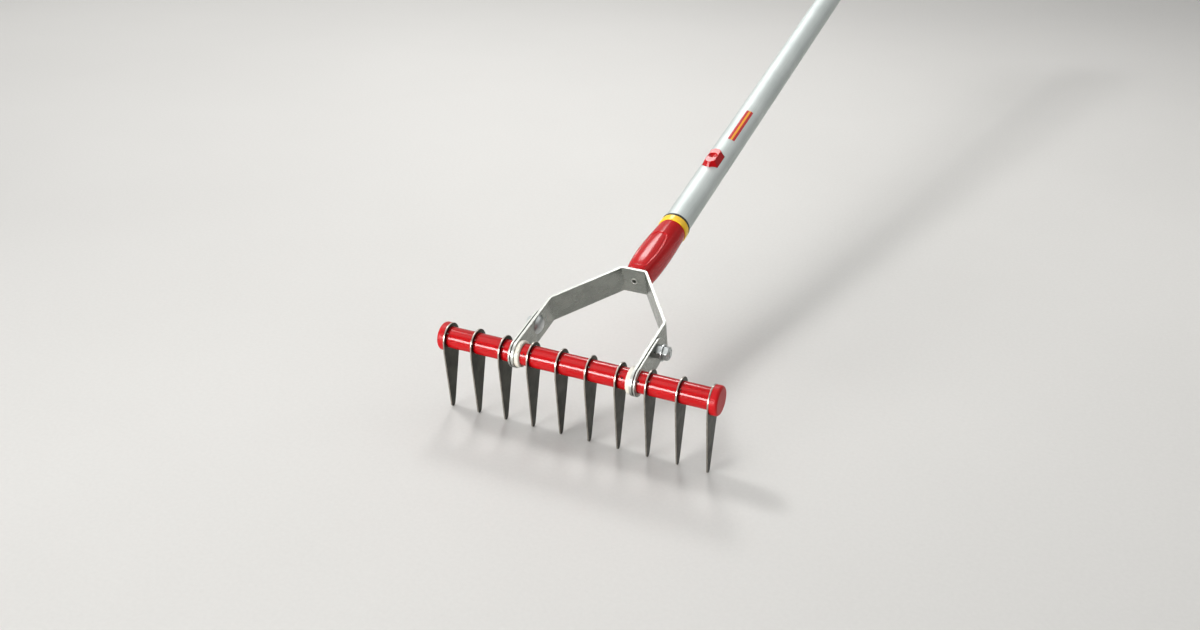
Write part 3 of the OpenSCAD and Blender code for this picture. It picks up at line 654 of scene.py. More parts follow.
class RAKE_OT_finishes(bpy.types.Operator):
    """Make the finishes"""
    bl_idname = "rake.finishes"
    bl_label = "Finishes"

    def execute(self, context):
        # Red enamel on the bar: deep colour under a clear gloss, with a slight orange peel.
        grained("gloss_enamel", ("bb080f", "a8060c"), (0.13, 0.18), 40, 2.2, 0.0004, specular=0.3)
        # Red moulded plastic of socket, button and eye: glossy, with faint moulding waves.
        grained("gloss_abs", ("c00a12", "ad080e"), (0.16, 0.24), 25, 3.0, 0.001, specular=0.18)
        # Softer red plastic of the caps: satin, a little paler than the enamel.
        grained("satin_cap", ("be0d14", "ab0a11"), (0.34, 0.44), 18, 0.9, 0.006, specular=0.22)
        # Zinc plate along the rolled strip: cloudy grey with faint lines.
        grained("zinc_strip", ("9ea19b", "878b86"), (0.2, 0.34), 14, 0.7, 0.006, (30, 1, 1), uv=True,
                metallic=1.0)
        # Sheared edge of the zinc strip, paler and more even than its faces: a painted highlight along the
        # edges.
        grained("zinc_painted_highlight", ("cbccc6", "aeb0aa"), (0.34, 0.46), 8, 0.5, 0.01, metallic=1.0)
        # Zinc on bolts, nuts and washer: bright, with a fine grain.
        grained("zinc_fastener", ("d0d3d2", "a6abab"), (0.3, 0.45), 5, 0.35, 0.006, metallic=1.0)
        # Rolled steel of the tines, in painted shade: dark, dull and a little olive, with lines down the
        # blade.
        grained("rolled_steel", ("3e3f37", "2c2d28"), (0.34, 0.5), 12, 0.6, 0.01, (1, 1, 18), metallic=1.0)
        # Sheared rim of the tines, also on the stake nibs: much paler than the blade, a painted highlight.
        grained("steel_painted_highlight", ("b2aca3", "8e8880"), (0.28, 0.42), 6, 0.5, 0.012, metallic=1.0)
        # Steel of pins: nearly black, painted shade standing for small dimples in the bar.
        grained("dark_pin_painted_shade", ("3c3b3a", "262626"), (0.35, 0.5), 4, 0.4, 0.006, metallic=1.0)
        # Steel of the leaf spring under the button.
        grained("spring_strip", ("a3a6a8", "7e8183"), (0.25, 0.38), 9, 0.5, 0.005, metallic=1.0)
        # Natural nylon of the bushes: warm white and waxy.
        grained("natural_nylon", ("e0dccf", "d0cabb"), (0.35, 0.48), 10, 0.9, 0.01)
        # Yellow plastic of the collar ring.
        grained("yellow_abs", ("ffd21a", "f7c30a"), (0.24, 0.34), 14, 1.2, 0.008)
        # Black rubber of the seal ring.
        grained("seal_rubber", ("232324", "161617"), (0.5, 0.65), 8, 0.6, 0.02)
        # Satin drawn aluminium of the handle: pale, with long fine lines.
        grained("drawn_aluminium", ("cfd4d2", "bcc3c1"), (0.57, 0.67), 60, 0.5, 0.005, (1, 120, 1), TILT,
                metallic=1.0)
        # Soft black grip: dull, with a pebbled skin.
        grained("pebbled_grip", ("2a2a2c", "1d1d1f"), (0.55, 0.72), 12, 0.7, 0.06)
        # Pale studio floor.
        grained("pale_floor", ("d8d6d2", "d2d0cc"), (0.6, 0.7), 500, 4.0, 0.0)
        striped_vinyl()
        return {"FINISHED"}


class RAKE_OT_bar(bpy.types.Operator):
    """Build the tine bar's tube, caps, stake nibs and pins"""
    bl_idname = "rake.bar"
    bl_label = "Tine bar"

    def execute(self, context):
        s = context.scene.rake_bar
        inner = s.bar_radius - s.bar_wall
        wall = band(inner, s.bar_radius, -s.bar_half, s.bar_half, edge=s.bar_wall / 4)
        made("bar", revolve(wall, steps=192), ["gloss_enamel"], "tine_bar", "red_enamel", "bar_tube",
             place=ALONG_X)
        plug_long, lead, brim = 14 * MM, 1 * MM, 0.4 * MM
        plug_end = s.bar_half - plug_long
        cap = rounded([
            (0, plug_end, 0), (s.plug_radius, plug_end, lead), (s.plug_radius, s.bar_half, 0),
            (s.cap_radius, s.bar_half, brim), (s.cap_radius, s.cap_end, s.cap_rim),
            (0, s.cap_end, 0)], steps=10)
        for side, turn in SIDES:
            made(f"cap_{side}", joined((revolve(cap), turn @ ALONG_X)), ["satin_cap"],
                 "tine_bar", "red_plastic", f"end_cap_{side}")
        top, crown = s.bar_radius + s.retainer_proud, 0.5 * MM
        pin = rounded([(0, inner, 0), (s.retainer_radius, inner, 0),
                       (s.retainer_radius, top, crown), (0, top, 0)])
        beside = (BUSH[0].x - s.retainer_in_gap - s.retainer_radius,
                  BUSH[1].x + s.retainer_gap + s.retainer_radius)
        lean = Matrix.Rotation(s.retainer_angle - math.pi / 2, 4, "X")
        pins = joined(*((revolve(pin, steps=48), Matrix.Translation((sign * x, 0, 0)) @ lean)
                        for sign in (-1, 1) for x in beside))
        # The retaining pins are near-black: painted shade in place of small dimples in the bar.
        made("retainers", pins, ["dark_pin_painted_shade"], "tine_bar", "pin_steel", "bar_retainers")
        frame["nodes"]["stop_pins"].data.materials[0] = bpy.data.materials["dark_pin_painted_shade"]
        nib_gap, uneven = 0.6 * MM, 0.15
        first = Vector((TINE[1].x + nib_gap, s.bar_radius * math.cos(s.nib_angle),
                        s.bar_radius * math.sin(s.nib_angle)))
        size = Vector((s.nib_long, s.nib_wide, s.nib_wide))
        # The stake nibs take the pale steel of a painted highlight.
        nibs = grown(blank("stake_nibs"), nib_tree(), {
            "Count": s.tines - 1, "Start": first, "Pitch": TINE_SPAN / (s.tines - 1),
            "Least size": (1 - uneven) * size, "Most size": (1 + uneven) * size,
            "Turn": (s.nib_angle, 0, 0), "Seed": 4, "Finish": bpy.data.materials["steel_painted_highlight"]})
        fit(nibs, "tine_bar", "tine_steel")
        return {"FINISHED"}


class RAKE_OT_tines(bpy.types.Operator):
    """Build the row of knife tines"""
    bl_idname = "rake.tines"
    bl_label = "Tines"

    def execute(self, context):
        s = context.scene.rake_bar
        tip = Vector((-s.tip_lead, s.tip_radius - s.reach))
        front, back = (Vector((side * s.ring_radius, -s.shoulder)) for side in (-1, 1))
        edges = []
        for side, corner in ((-1, front), (1, back)):
            way = tip - corner
            heading = math.atan2(way.y, way.x) + side * math.asin(s.tip_radius / way.length)
            edges.append(heading + side * math.pi / 2)
        outline = arc((0, 0), s.ring_radius, 0, math.pi, steps=96) + [front]
        outline += arc(tip, s.tip_radius, *edges, steps=16) + [back]
        loops = [outline, hole((0, 0), s.bar_radius + s.ring_play, steps=128)]
        blade = plate(loops, -s.tine_thick / 2, s.tine_thick / 2, s.tine_edge)
        # The blade takes the steel in painted shade, and its rim the pale steel of a painted highlight.
        tines = even_shade(solid("tines", blade, ["rolled_steel", "steel_painted_highlight"], ALONG_X))
        # Every copy's rims keep the pale steel of a painted highlight.
        grown(tines, row_tree(), {
            "Count": s.tines, "Start": TINE[0].x + s.tine_thick / 2, "Pitch": TINE_SPAN / (s.tines - 1),
            "Rim finish": bpy.data.materials["steel_painted_highlight"]})
        fit(tines, "tine_bar", "tine_steel", *TINE_NODES)
        return {"FINISHED"}


class RAKE_OT_yoke(bpy.types.Operator):
    """Build the bent yoke, its straps and its bushes"""
    bl_idname = "rake.yoke"
    bl_label = "Yoke, straps and bushes"

    def execute(self, context):
        s = context.scene.rake_yoke
        leg_x = YOKE[1].x - s.strip_thick / 2
        plate_v = YOKE[1].y - s.strip_thick / 2
        slope = math.atan2(plate_v - s.leg_reach, leg_x - s.plate_half)
        turns = (math.pi / 2 - slope, slope)
        spare = [s.bend_radius * math.tan(turn / 2) for turn in turns]
        side = math.hypot(plate_v - s.leg_reach, leg_x - s.plate_half) - sum(spare)
        bends = [(s.bend_radius * turn, turn) for turn in turns]
        rise = [(s.leg_reach - spare[0], 0), bends[0], (side, 0), bends[1]]
        runs = rise + [(2 * (s.plate_half - spare[1]), 0)] + rise[::-1]
        whole = sum(run for run, turn in runs)
        bolt_hole = s.bolt_radius + PLAY
        loops = [round_ended(s.strip_half, whole)]
        for end, way in ((0, 1), (whole, -1)):
            loops += [hole((end, 0), s.seat_radius, steps=96),
                      hole((end + way * s.bolt_reach, s.bolt_rise), bolt_hole)]
        loops.append(hole((whole / 2, 0), s.rivet_radius + PLAY))
        strip = plate(loops, -s.strip_thick / 2, s.strip_thick / 2, s.edge)
        bend_strip(strip, runs, Vector((-leg_x, 0)))
        # The rims of yoke and straps take the paler zinc of a painted highlight.
        zinc = ["zinc_strip", "zinc_painted_highlight"]
        made("yoke_strip", strip, zinc, "frame", "zinc_steel", "yoke", place=HEAD)
        loops = [round_ended(s.strip_half, s.strap_reach), hole((0, 0), s.seat_radius, steps=96),
                 hole((s.bolt_reach, s.bolt_rise), bolt_hole)]
        for name, turn in SIDES:
            flat = plate(loops, STRAP[0].x, STRAP[1].x, s.edge)
            mark_run(flat)
            made(f"leg_strap_{name}", joined((flat, HEAD @ turn @ ALONG_X)), zinc,
                 "frame", "zinc_steel", f"strap_{name}")
            self.bush(s, name, turn)
        return {"FINISHED"}

    def bush(self, s, name, turn):
        """One white bush: a collar inside the leg and a sleeve through leg and strap."""
        leg_in = YOKE[1].x - s.strip_thick
        middle = (leg_in + BUSH[1].x) / 2
        low, high = middle - s.pin_room / 2, middle + s.pin_room / 2
        fine, lead, shoulder = 0.2 * MM, 0.3 * MM, 2.0 * MM
        collar = rounded([
            (s.bush_bore, BUSH[0].x, lead), (BUSH[1].z, BUSH[0].x, shoulder), (BUSH[1].z, leg_in, fine),
            (s.sleeve_radius, leg_in, 0), (s.sleeve_radius, low, 0), (s.bush_bore, low, 0)])
        rim = rounded([
            (s.bush_bore, high, 0), (s.sleeve_radius, high, 0), (s.sleeve_radius, BUSH[1].x, fine),
            (s.bush_bore, BUSH[1].x, fine)])
        both = joined(*((revolve(ring), turn @ ALONG_X) for ring in (collar, rim)))
        made(f"white_bush_{name}", both, ["natural_nylon"], "frame", "white_nylon", f"bush_{name}")


def bend_strip(bm, runs, start):
    """Bend a flat strip, laid along X, through runs of (length, turn to the right).
    It starts from a point in X and Y."""
    stations = []
    at, point, heading = 0.0, start.copy(), math.pi / 2
    steps = 6
    for run, turn in runs:
        stations.append((at, point, heading, -turn / run))
        if turn:
            for k in range(steps + 1):
                slice_at(bm, at + run * k / steps, 2 * MERGE)
        point, heading = along(stations[-1], at + run)
        at += run
    mark_run(bm)
    for vert in bm.verts:
        station = [s for s in stations if s[0] <= max(vert.co.x, 0.0) + MERGE / 10][-1]
        place, heading = along(station, vert.co.x)
        off = Vector((-math.sin(heading), math.cos(heading))) * vert.co.z
        vert.co = (*(place + off), vert.co.y)


def along(station, distance):
    """Place and heading at a distance along the strip, from the station before it."""
    at, point, heading, curve = station
    run = distance - at
    if curve == 0:
        return point + run * Vector((math.cos(heading), math.sin(heading))), heading
    now = heading + curve * run
    chord = Vector((math.sin(now) - math.sin(heading), math.cos(heading) - math.cos(now)))
    return point + chord / curve, now


class RAKE_OT_fasteners(bpy.types.Operator):
    """Build the bolts, nuts, washer, lock nut and rivet"""
    bl_idname = "rake.fasteners"
    bl_label = "Fasteners"

    def execute(self, context):
        s = context.scene.rake_yoke
        centre = Matrix.Translation((0, s.bolt_reach, s.bolt_rise)) @ ALONG_X
        left, right = (HEAD @ turn @ centre for side, turn in SIDES)
        zinc = (["zinc_fastener"], "frame", "zinc_steel")
        leg_in = YOKE[1].x - s.strip_thick
        tips = ((-BOLTS[0].x, left), (BOLTS[1].x, right))
        bolts = joined(*((revolve(self.bolt(s, leg_in, tip), steps=64), place) for tip, place in tips))
        made("bolts", bolts, *zinc, "strap_bolts")
        self.threads(s, tips)
        height = NUTS[1].x - STRAP[1].x
        seat = Matrix.Translation((0, 0, STRAP[1].x))
        nuts = joined(*((self.nut(s, height), place @ seat) for place in (left, right)))
        made("nuts", nuts, *zinc, "strap_nuts")
        bore = s.bolt_radius + PLAY
        edge = 0.25 * MM
        ring = band(bore, (WASHER[1].y - WASHER[0].y) / 2, WASHER[0].x, WASHER[1].x, edge, edge)
        made("washer", revolve(ring), *zinc, "bolt_washer", place=right)
        ring = band(bore, s.head_radius, YOKE[1].x, STRAP[0].x)
        spacers = joined((revolve(ring), left), (revolve(ring), right))
        fit(solid("spacers", spacers, ["zinc_fastener"]), "frame", "zinc_steel", "strap_spacers")
        collar = LOCK[1].x - s.lock_collar
        sunk, outer, crown, lip = 1 * MM, 5.75 * MM, 0.9 * MM, 0.2 * MM
        foot = collar - sunk
        ring = rounded([(bore, foot, 0), (outer, foot, 0),
                        (outer, LOCK[1].x, crown), (bore, LOCK[1].x, lip)])
        nut = self.nut(s, collar - LOCK[0].x)
        lock = joined((nut, right @ Matrix.Translation((0, 0, LOCK[0].x))), (revolve(ring, steps=96), right))
        made("locking_nut", lock, *zinc, "lock_nut")
        self.rivet(s)
        return {"FINISHED"}

    def bolt(self, s, leg_in, tip):
        """Profile of a bolt with a low round head under the leg and a core for its thread."""
        dome = (s.head_radius ** 2 + s.head_height ** 2) / (2 * s.head_height)
        dome_share = 0.985  # the dome ends just over a thin straight rim
        sweep = math.asin(s.head_radius / dome) * dome_share
        head = arc((0, leg_in - s.head_height + dome), dome, -math.pi / 2, -math.pi / 2 + sweep, steps=12)
        head[0].x = 0
        core_depth, thread_long, point = 0.55 * s.thread_pitch, 6 * MM, 0.5 * MM
        core = s.bolt_radius - core_depth
        thread = tip - thread_long
        return head + rounded([
            (s.head_radius, leg_in, 0), (s.bolt_radius, leg_in, 0), (s.bolt_radius, thread, 0),
            (core, thread, 0), (core, tip, point), (0, tip, 0)])

    def threads(self, s, tips):
        """The screw thread that shows at the tip of each bolt."""
        turns, section, bare_tip = 3, 0.5 * s.thread_pitch, 0.8 * MM
        tree = thread_tree()
        for name, (tip, place) in zip(("thread_left", "thread_right"), tips):
            coil = grown(blank(name), tree, {
                "Turns": turns, "Radius": s.bolt_radius - section, "Height": turns * s.thread_pitch,
                "Section": section, "Finish": bpy.data.materials["zinc_fastener"]})
            start = tip - bare_tip - section - turns * s.thread_pitch
            coil.data.transform(place @ Matrix.Translation((0, 0, start)))
            if place.is_negative:
                coil.data.flip_normals()
            fit(coil, "frame", "zinc_steel")

    def nut(self, s, height):
        """A hexagon nut with its corners turned off, standing on Z = 0."""
        bm = bmesh.new()
        steps, sixth = 120, math.pi / 6
        flats, bore, chamfer = s.nut_flats / 2, s.bolt_radius + PLAY, 0.6 * MM
        cone = math.tan(math.radians(30))
        past_corner, face_share = 1.1, 0.995
        drop = (flats / math.cos(sixth) - flats) * cone * past_corner
        rises = [drop * part for part in (0, 0.12, 0.3, 0.5, 0.75, 1.0)]
        heights = rises + [height - rise for rise in reversed(rises)]
        levels = [(flats * face_share + min(z, height - z) / cone, z) for z in heights]
        levels += [(bore + chamfer, height), (bore, height - chamfer), (bore, chamfer), (bore + chamfer, 0)]
        rings = []
        for turned, z in levels:
            rings.append([])
            for a in (math.tau * k / steps for k in range(steps)):
                radius = min(flats / math.cos((a + sixth) % (2 * sixth) - sixth), turned)
                rings[-1].append(bm.verts.new((radius * math.cos(a), radius * math.sin(a), z)))
        skin(bm, rings, closed=True)
        return bm

    def rivet(self, s):
        """The tubular rivet through the top plate, with a rolled head."""
        depth, mouth, roll = 15.5 * MM, 0.3 * MM, 0.4 * MM
        low, end = YOKE[1].y - s.strip_thick, YOKE[1].y + depth
        head, spread = low - s.rivet_head, s.rivet_radius + s.rivet_head
        profile = rounded([
            (s.rivet_bore, head, mouth), (spread, head, roll), (spread, low, 0),
            (s.rivet_radius, low, 0), (s.rivet_radius, end, 0), (s.rivet_bore, end, 0)])
        # The rivet is in the same paler zinc of a painted highlight.
        made("rivet", revolve(profile, steps=64), ["zinc_painted_highlight"], "frame", "zinc_steel", "socket_rivet",
             place=HEAD @ Matrix.Rotation(-math.pi / 2, 4, "X"))


class RAKE_OT_socket(bpy.types.Operator):
    """Build the moulded socket and the rings above it"""
    bl_idname = "rake.socket"
    bl_label = "Socket and rings"

    def execute(self, context):
        s = context.scene.rake_socket
        bm = bmesh.new()
        steps, sides = 260, 300
        rings = [[bm.verts.new(p) for p in self.ring(s, j / steps, sides)] for j in range(steps + 1)]
        spring_room = 0.4 * MM
        flat_from = SPRING[0].y - spring_room
        spokes = circle(s.spigot_radius, sides)
        for v, capped in ((s.neck, False), (flat_from, False), (flat_from, True), (SOCKET[1].y, True)):
            top = s.spigot_flat if capped else s.spigot_radius
            rings.append([bm.verts.new((p.x, v, HANDLE_Z + min(p.y, top))) for p in spokes])
        skin(bm, rings)
        bm.faces.new(rings[-1])
        bores = [[bm.verts.new((p.x, v, p.y)) for p in circle(s.rivet_room, steps=64)]
                 for v in (s.foot, s.foot + s.rivet_deep)]
        skin(bm, bores)
        bm.faces.new(bores[1])
        bmesh.ops.triangle_fill(bm, edges=edges_of(bm, rings[0], bores[0]), use_beauty=True)
        made("socket_body", bm, ["gloss_abs"], "frame", "red_plastic", "socket", place=HEAD)
        for name, box, edge, finish, slot, node in (
                ("yellow_ring", RING, s.ring_edge, "yellow_abs", "yellow_plastic", "collar_ring"),
                ("black_ring", SEAL, s.seal_edge, "seal_rubber", "black_rubber", "seal_ring")):
            ring = band(s.ring_bore, s.ring_radius, box[0].y, box[1].y, edge)
            made(name, revolve(ring, steps=160), [finish], "frame", slot, node, place=HANDLE)
        return {"FINISHED"}

    def ring(self, s, t, sides):
        """Section of the socket from foot to neck, with the lip standing out and the panel sunk in."""
        k = t * t * (3 - 2 * t)
        swell = s.belly * math.sin(math.pi * t ** s.belly_skew)
        v = s.foot + (s.neck - s.foot) * t
        wide = (s.foot_width + (s.neck_width - s.foot_width) * k) / 2 + swell
        tall = (s.foot_height + (s.neck_width - s.foot_height) * k) / 2 + swell
        rise = s.foot_rise + (HANDLE_Z - s.foot_rise) * t
        power = 2 / (s.squareness + (2 - s.squareness) * k)
        lip = s.lip * (1 - step(v - s.foot, s.lip_long - s.lip, s.lip_long))
        points = []
        for i in range(sides):
            c, d = math.cos(math.tau * i / sides), math.sin(math.tau * i / sides)
            out = Vector((math.copysign(abs(c) ** power, c), math.copysign(abs(d) ** power, d)))
            grow = lip - (self.sunk(s, wide * out.x, v) if d > 0 else 0)
            points.append((out.x * (wide + grow), v, rise + out.y * (tall + grow)))
        return points

    def sunk(self, s, x, v):
        """Depth of the panel at a point: steep round its top and sides, and shallow towards its foot."""
        low, high = s.foot + s.panel_low, s.neck - s.panel_top
        middle, half = (low + high) / 2, (high - low) / 2
        side = s.panel_wide - (s.panel_wide - s.panel_narrow) * ((v - middle) / half) ** 2 - abs(x)
        inside = soft_min(soft_min(high - v, side, s.panel_corner), v - low, s.panel_corner)
        least = 0.3
        shallow = least + (1 - least) * step(v, low, middle)
        return s.panel_deep * shallow * step(inside, 0, s.panel_step)


def step(value, low, high):
    """Smooth step from 0 at low to 1 at high."""
    t = min(max((value - low) / (high - low), 0.0), 1.0)
    return t * t * (3 - 2 * t)


def soft_min(a, b, radius):
    """The lesser of two distances, with the corner between them rounded."""
    h = max(radius - abs(a - b), 0.0) / radius
    return min(a, b) - h * h * radius / 4


class RAKE_OT_handle(bpy.types.Operator):
    """Build the handle tube with its window, label, grip and hanging eye"""
    bl_idname = "rake.handle"
    bl_label = "Handle"

    def execute(self, context):
        s = context.scene.rake_handle
        wall = band(s.radius - s.wall, s.radius, s.low, s.high, edge=0.3 * MM)
        tube = solid("tube", revolve(wall, steps=192), ["drawn_aluminium"], HANDLE)
        window = bmesh.new()
        base, face = button_plans(s, s.button_gap)
        rings = stack(window, ((base, 0), (base, taper_from(s)), (face, s.button_top)))
        skin(window, rings)
        window.faces.new(rings[0])
        window.faces.new(rings[-1])
        cutter = solid("window", window, ["drawn_aluminium"], button_place(s))
        cut = tube.modifiers.new("Window", "BOOLEAN")
        cut.object = cutter
        cut.solver = "EXACT"
        settle(tube)
        bpy.data.objects.remove(cutter)
        round_shade(tube)
        fit(tube, "frame", "satin_aluminium", "handle_tube")
        self.label(s)
        self.grip(s)
        self.eye(s)
        spring = frame["nodes"]["latch_spring"]
        spring.data.materials[0] = bpy.data.materials["spring_strip"]
        return {"FINISHED"}

    def label(self, s):
        """A bare vinyl label, wrapped on the tube."""
        half = s.radius * s.label_half
        run = (s.label_high - s.label_low) / 2
        middle = (s.label_low + s.label_high) / 2
        corner, lift, ease, cuts = 1.2 * MM, 0.02 * MM, 0.03 * MM, 16
        outline = rounded([(-half, -run, corner), (half, -run, corner),
                           (half, run, corner), (-half, run, corner)])
        flat = plate([outline], lift, s.label_thick, ease)
        for k in range(1, cuts):
            slice_at(flat, half * (2 * k / cuts - 1))
        mark_run(flat)
        for vert in flat.verts:
            turn = s.label_turn + vert.co.x / s.radius
            out = s.radius + vert.co.z
            vert.co = (out * math.sin(turn), middle + vert.co.y, HANDLE_Z + out * math.cos(turn))
        label = solid("label", flat, ["striped_vinyl", "striped_vinyl"], HEAD)
        fit(label, "frame", "red_plastic")

    def grip(self, s):
        """A soft sleeve with even ribs."""
        dip, ends, slope, soft, rim, margin = 0.7 * MM, 7 * MM, 1 * MM, 0.5 * MM, 1.1 * MM, 4 * MM
        body, lip = s.grip_radius - dip, s.grip_radius
        profile = rounded([
            (s.grip_bore, s.grip_low, 0), (lip, s.grip_low, rim), (lip, s.grip_low + ends, soft),
            (body, s.grip_low + ends + slope, soft), (body, s.high - ends - slope, soft),
            (lip, s.high - ends, soft), (lip, s.high, rim), (s.grip_bore, s.high, 0)])
        made("grip_sleeve", revolve(profile, steps=160), ["pebbled_grip"], "frame", "grip_rubber", "grip",
             place=HANDLE)
        room = s.high - s.grip_low - 2 * (ends + margin)
        count = int(room / s.rib_pitch) + 1
        ribs = grown(blank("grip_ribs"), rib_tree(), {
            "Count": count, "Start": (s.high + s.grip_low - (count - 1) * s.rib_pitch) / 2,
            "Pitch": s.rib_pitch, "Radius": s.grip_radius - s.rib_radius, "Section": s.rib_radius,
            "Finish": bpy.data.materials["pebbled_grip"]})
        ribs.data.transform(HANDLE)
        fit(ribs, "frame", "grip_rubber")

    def eye(self, s):
        """The end plug with its flange and its flat hanging eye."""
        slack, plug_long, overlap = 0.05 * MM, 30 * MM, 1 * MM
        lead, brim, crown, ease = 1 * MM, 0.4 * MM, 1.2 * MM, 1.0 * MM
        inner = s.radius - s.wall - slack
        top = s.high + s.flange_thick
        foot, root = s.high - plug_long, top - overlap
        plug = rounded([
            (0, foot, 0), (inner, foot, lead), (inner, s.high, 0), (s.flange_radius, s.high, brim),
            (s.flange_radius, top, crown), (0, top, 0)])
        centre = Vector((top + s.eye_radius, HANDLE_Z))
        outline = arc(centre, s.eye_radius, -math.pi / 2, math.pi / 2, steps=48)
        outline += [Vector((root, HANDLE_Z + side * s.eye_radius)) for side in (1, -1)]
        tab = plate([outline, hole(centre, s.eye_hole)], -s.eye_half, s.eye_half, ease)
        whole = joined((revolve(plug), HANDLE), (tab, HEAD @ ALONG_X))
        made("hang_eye", whole, ["gloss_abs", "gloss_abs"], "frame", "red_plastic", "end_plug")


def button_place(s):
    """The button's own frame, on the handle's axis."""
    return HEAD @ Matrix.Translation((0, s.button_at, HANDLE_Z))


def button_plans(s, grow):
    """Plans of the button's base and of its upper face: rectangles with their corners cut across."""
    plans = []
    for wide, long, cut in ((s.button_width, s.button_long, s.button_cut),
                            (s.face_width, s.face_long, s.face_cut)):
        a, b = wide / 2 + grow, long / 2 + grow
        plans.append([Vector(p) for p in ((-a + cut, -b), (a - cut, -b), (a, -b + cut), (a, b - cut),
                                          (a - cut, b), (-a + cut, b), (-a, b - cut), (-a, -b + cut))])
    return plans


def taper_from(s):
    """Height over the handle's axis at which the button's walls start to lean in."""
    return math.sqrt(s.radius ** 2 - (s.button_width / 2) ** 2)


def round_shade(obj):
    """Shade the handle tube as a true cylinder, and its cut faces flat."""
    origin = HEAD @ Vector((0, 0, HANDLE_Z))
    # A round face looks outwards by at least the first share, and along the axis by less than the second.
    faces_out, faces_along = 0.97, 0.01
    normals = []
    for polygon in obj.data.polygons:
        for index in polygon.vertices:
            off = obj.data.vertices[index].co - origin
            off -= off.dot(HANDLE_AXIS) * HANDLE_AXIS
            out = off.normalized()
            lean = out.dot(polygon.normal)
            on_round = abs(lean) > faces_out and polygon.normal.dot(HANDLE_AXIS) ** 2 < faces_along
            normals.append(out * math.copysign(1, lean) if on_round else polygon.normal)
    obj.data.normals_split_custom_set(normals)


class RAKE_OT_button(bpy.types.Operator):
    """Build the release button"""
    bl_idname = "rake.button"
    bl_label = "Release button"

    def execute(self, context):
        s = context.scene.rake_handle
        bm = bmesh.new()
        corner = 2 * MM
        base, face = (rounded([(*q, corner) for q in plan]) for plan in button_plans(s, 0))
        hollow = s.button_top - s.dish_depth - s.button_wall
        levels = [(inset(face, s.button_wall), hollow), (inset(base, s.button_wall), taper_from(s)),
                  (inset(base, s.button_wall), s.button_foot), (base, s.button_foot), (base, taper_from(s))]
        steps = 4
        for k in range(steps + 1):
            turn = math.pi / 2 * k / steps
            levels.append((inset(face, s.button_edge * (1 - math.cos(turn))),
                           s.button_top - s.button_edge * (1 - math.sin(turn))))
        rings = stack(bm, levels)
        skin(bm, rings)
        bm.faces.new(rings[0])
        rim = circle(s.dish_radius, steps=64)
        bowl = (s.dish_radius ** 2 + s.dish_depth ** 2) / (2 * s.dish_depth)
        bowls = []
        for part in (1.0, 0.96, 0.85, 0.7, 0.5, 0.3, 0.12):
            drop = s.dish_depth - (bowl - math.sqrt(bowl ** 2 - (part * s.dish_radius) ** 2))
            bowls.append([bm.verts.new((*(p * part), s.button_top - drop)) for p in rim])
        bowls.append([bm.verts.new((0, 0, s.button_top - s.dish_depth))] * len(rim))
        skin(bm, bowls)
        bmesh.ops.triangle_fill(bm, edges=edges_of(bm, rings[-1], bowls[0]), use_beauty=True)
        made("button_block", bm, ["gloss_abs"], "button", "red_plastic", "release_button",
             place=button_place(s))
        return {"FINISHED"}


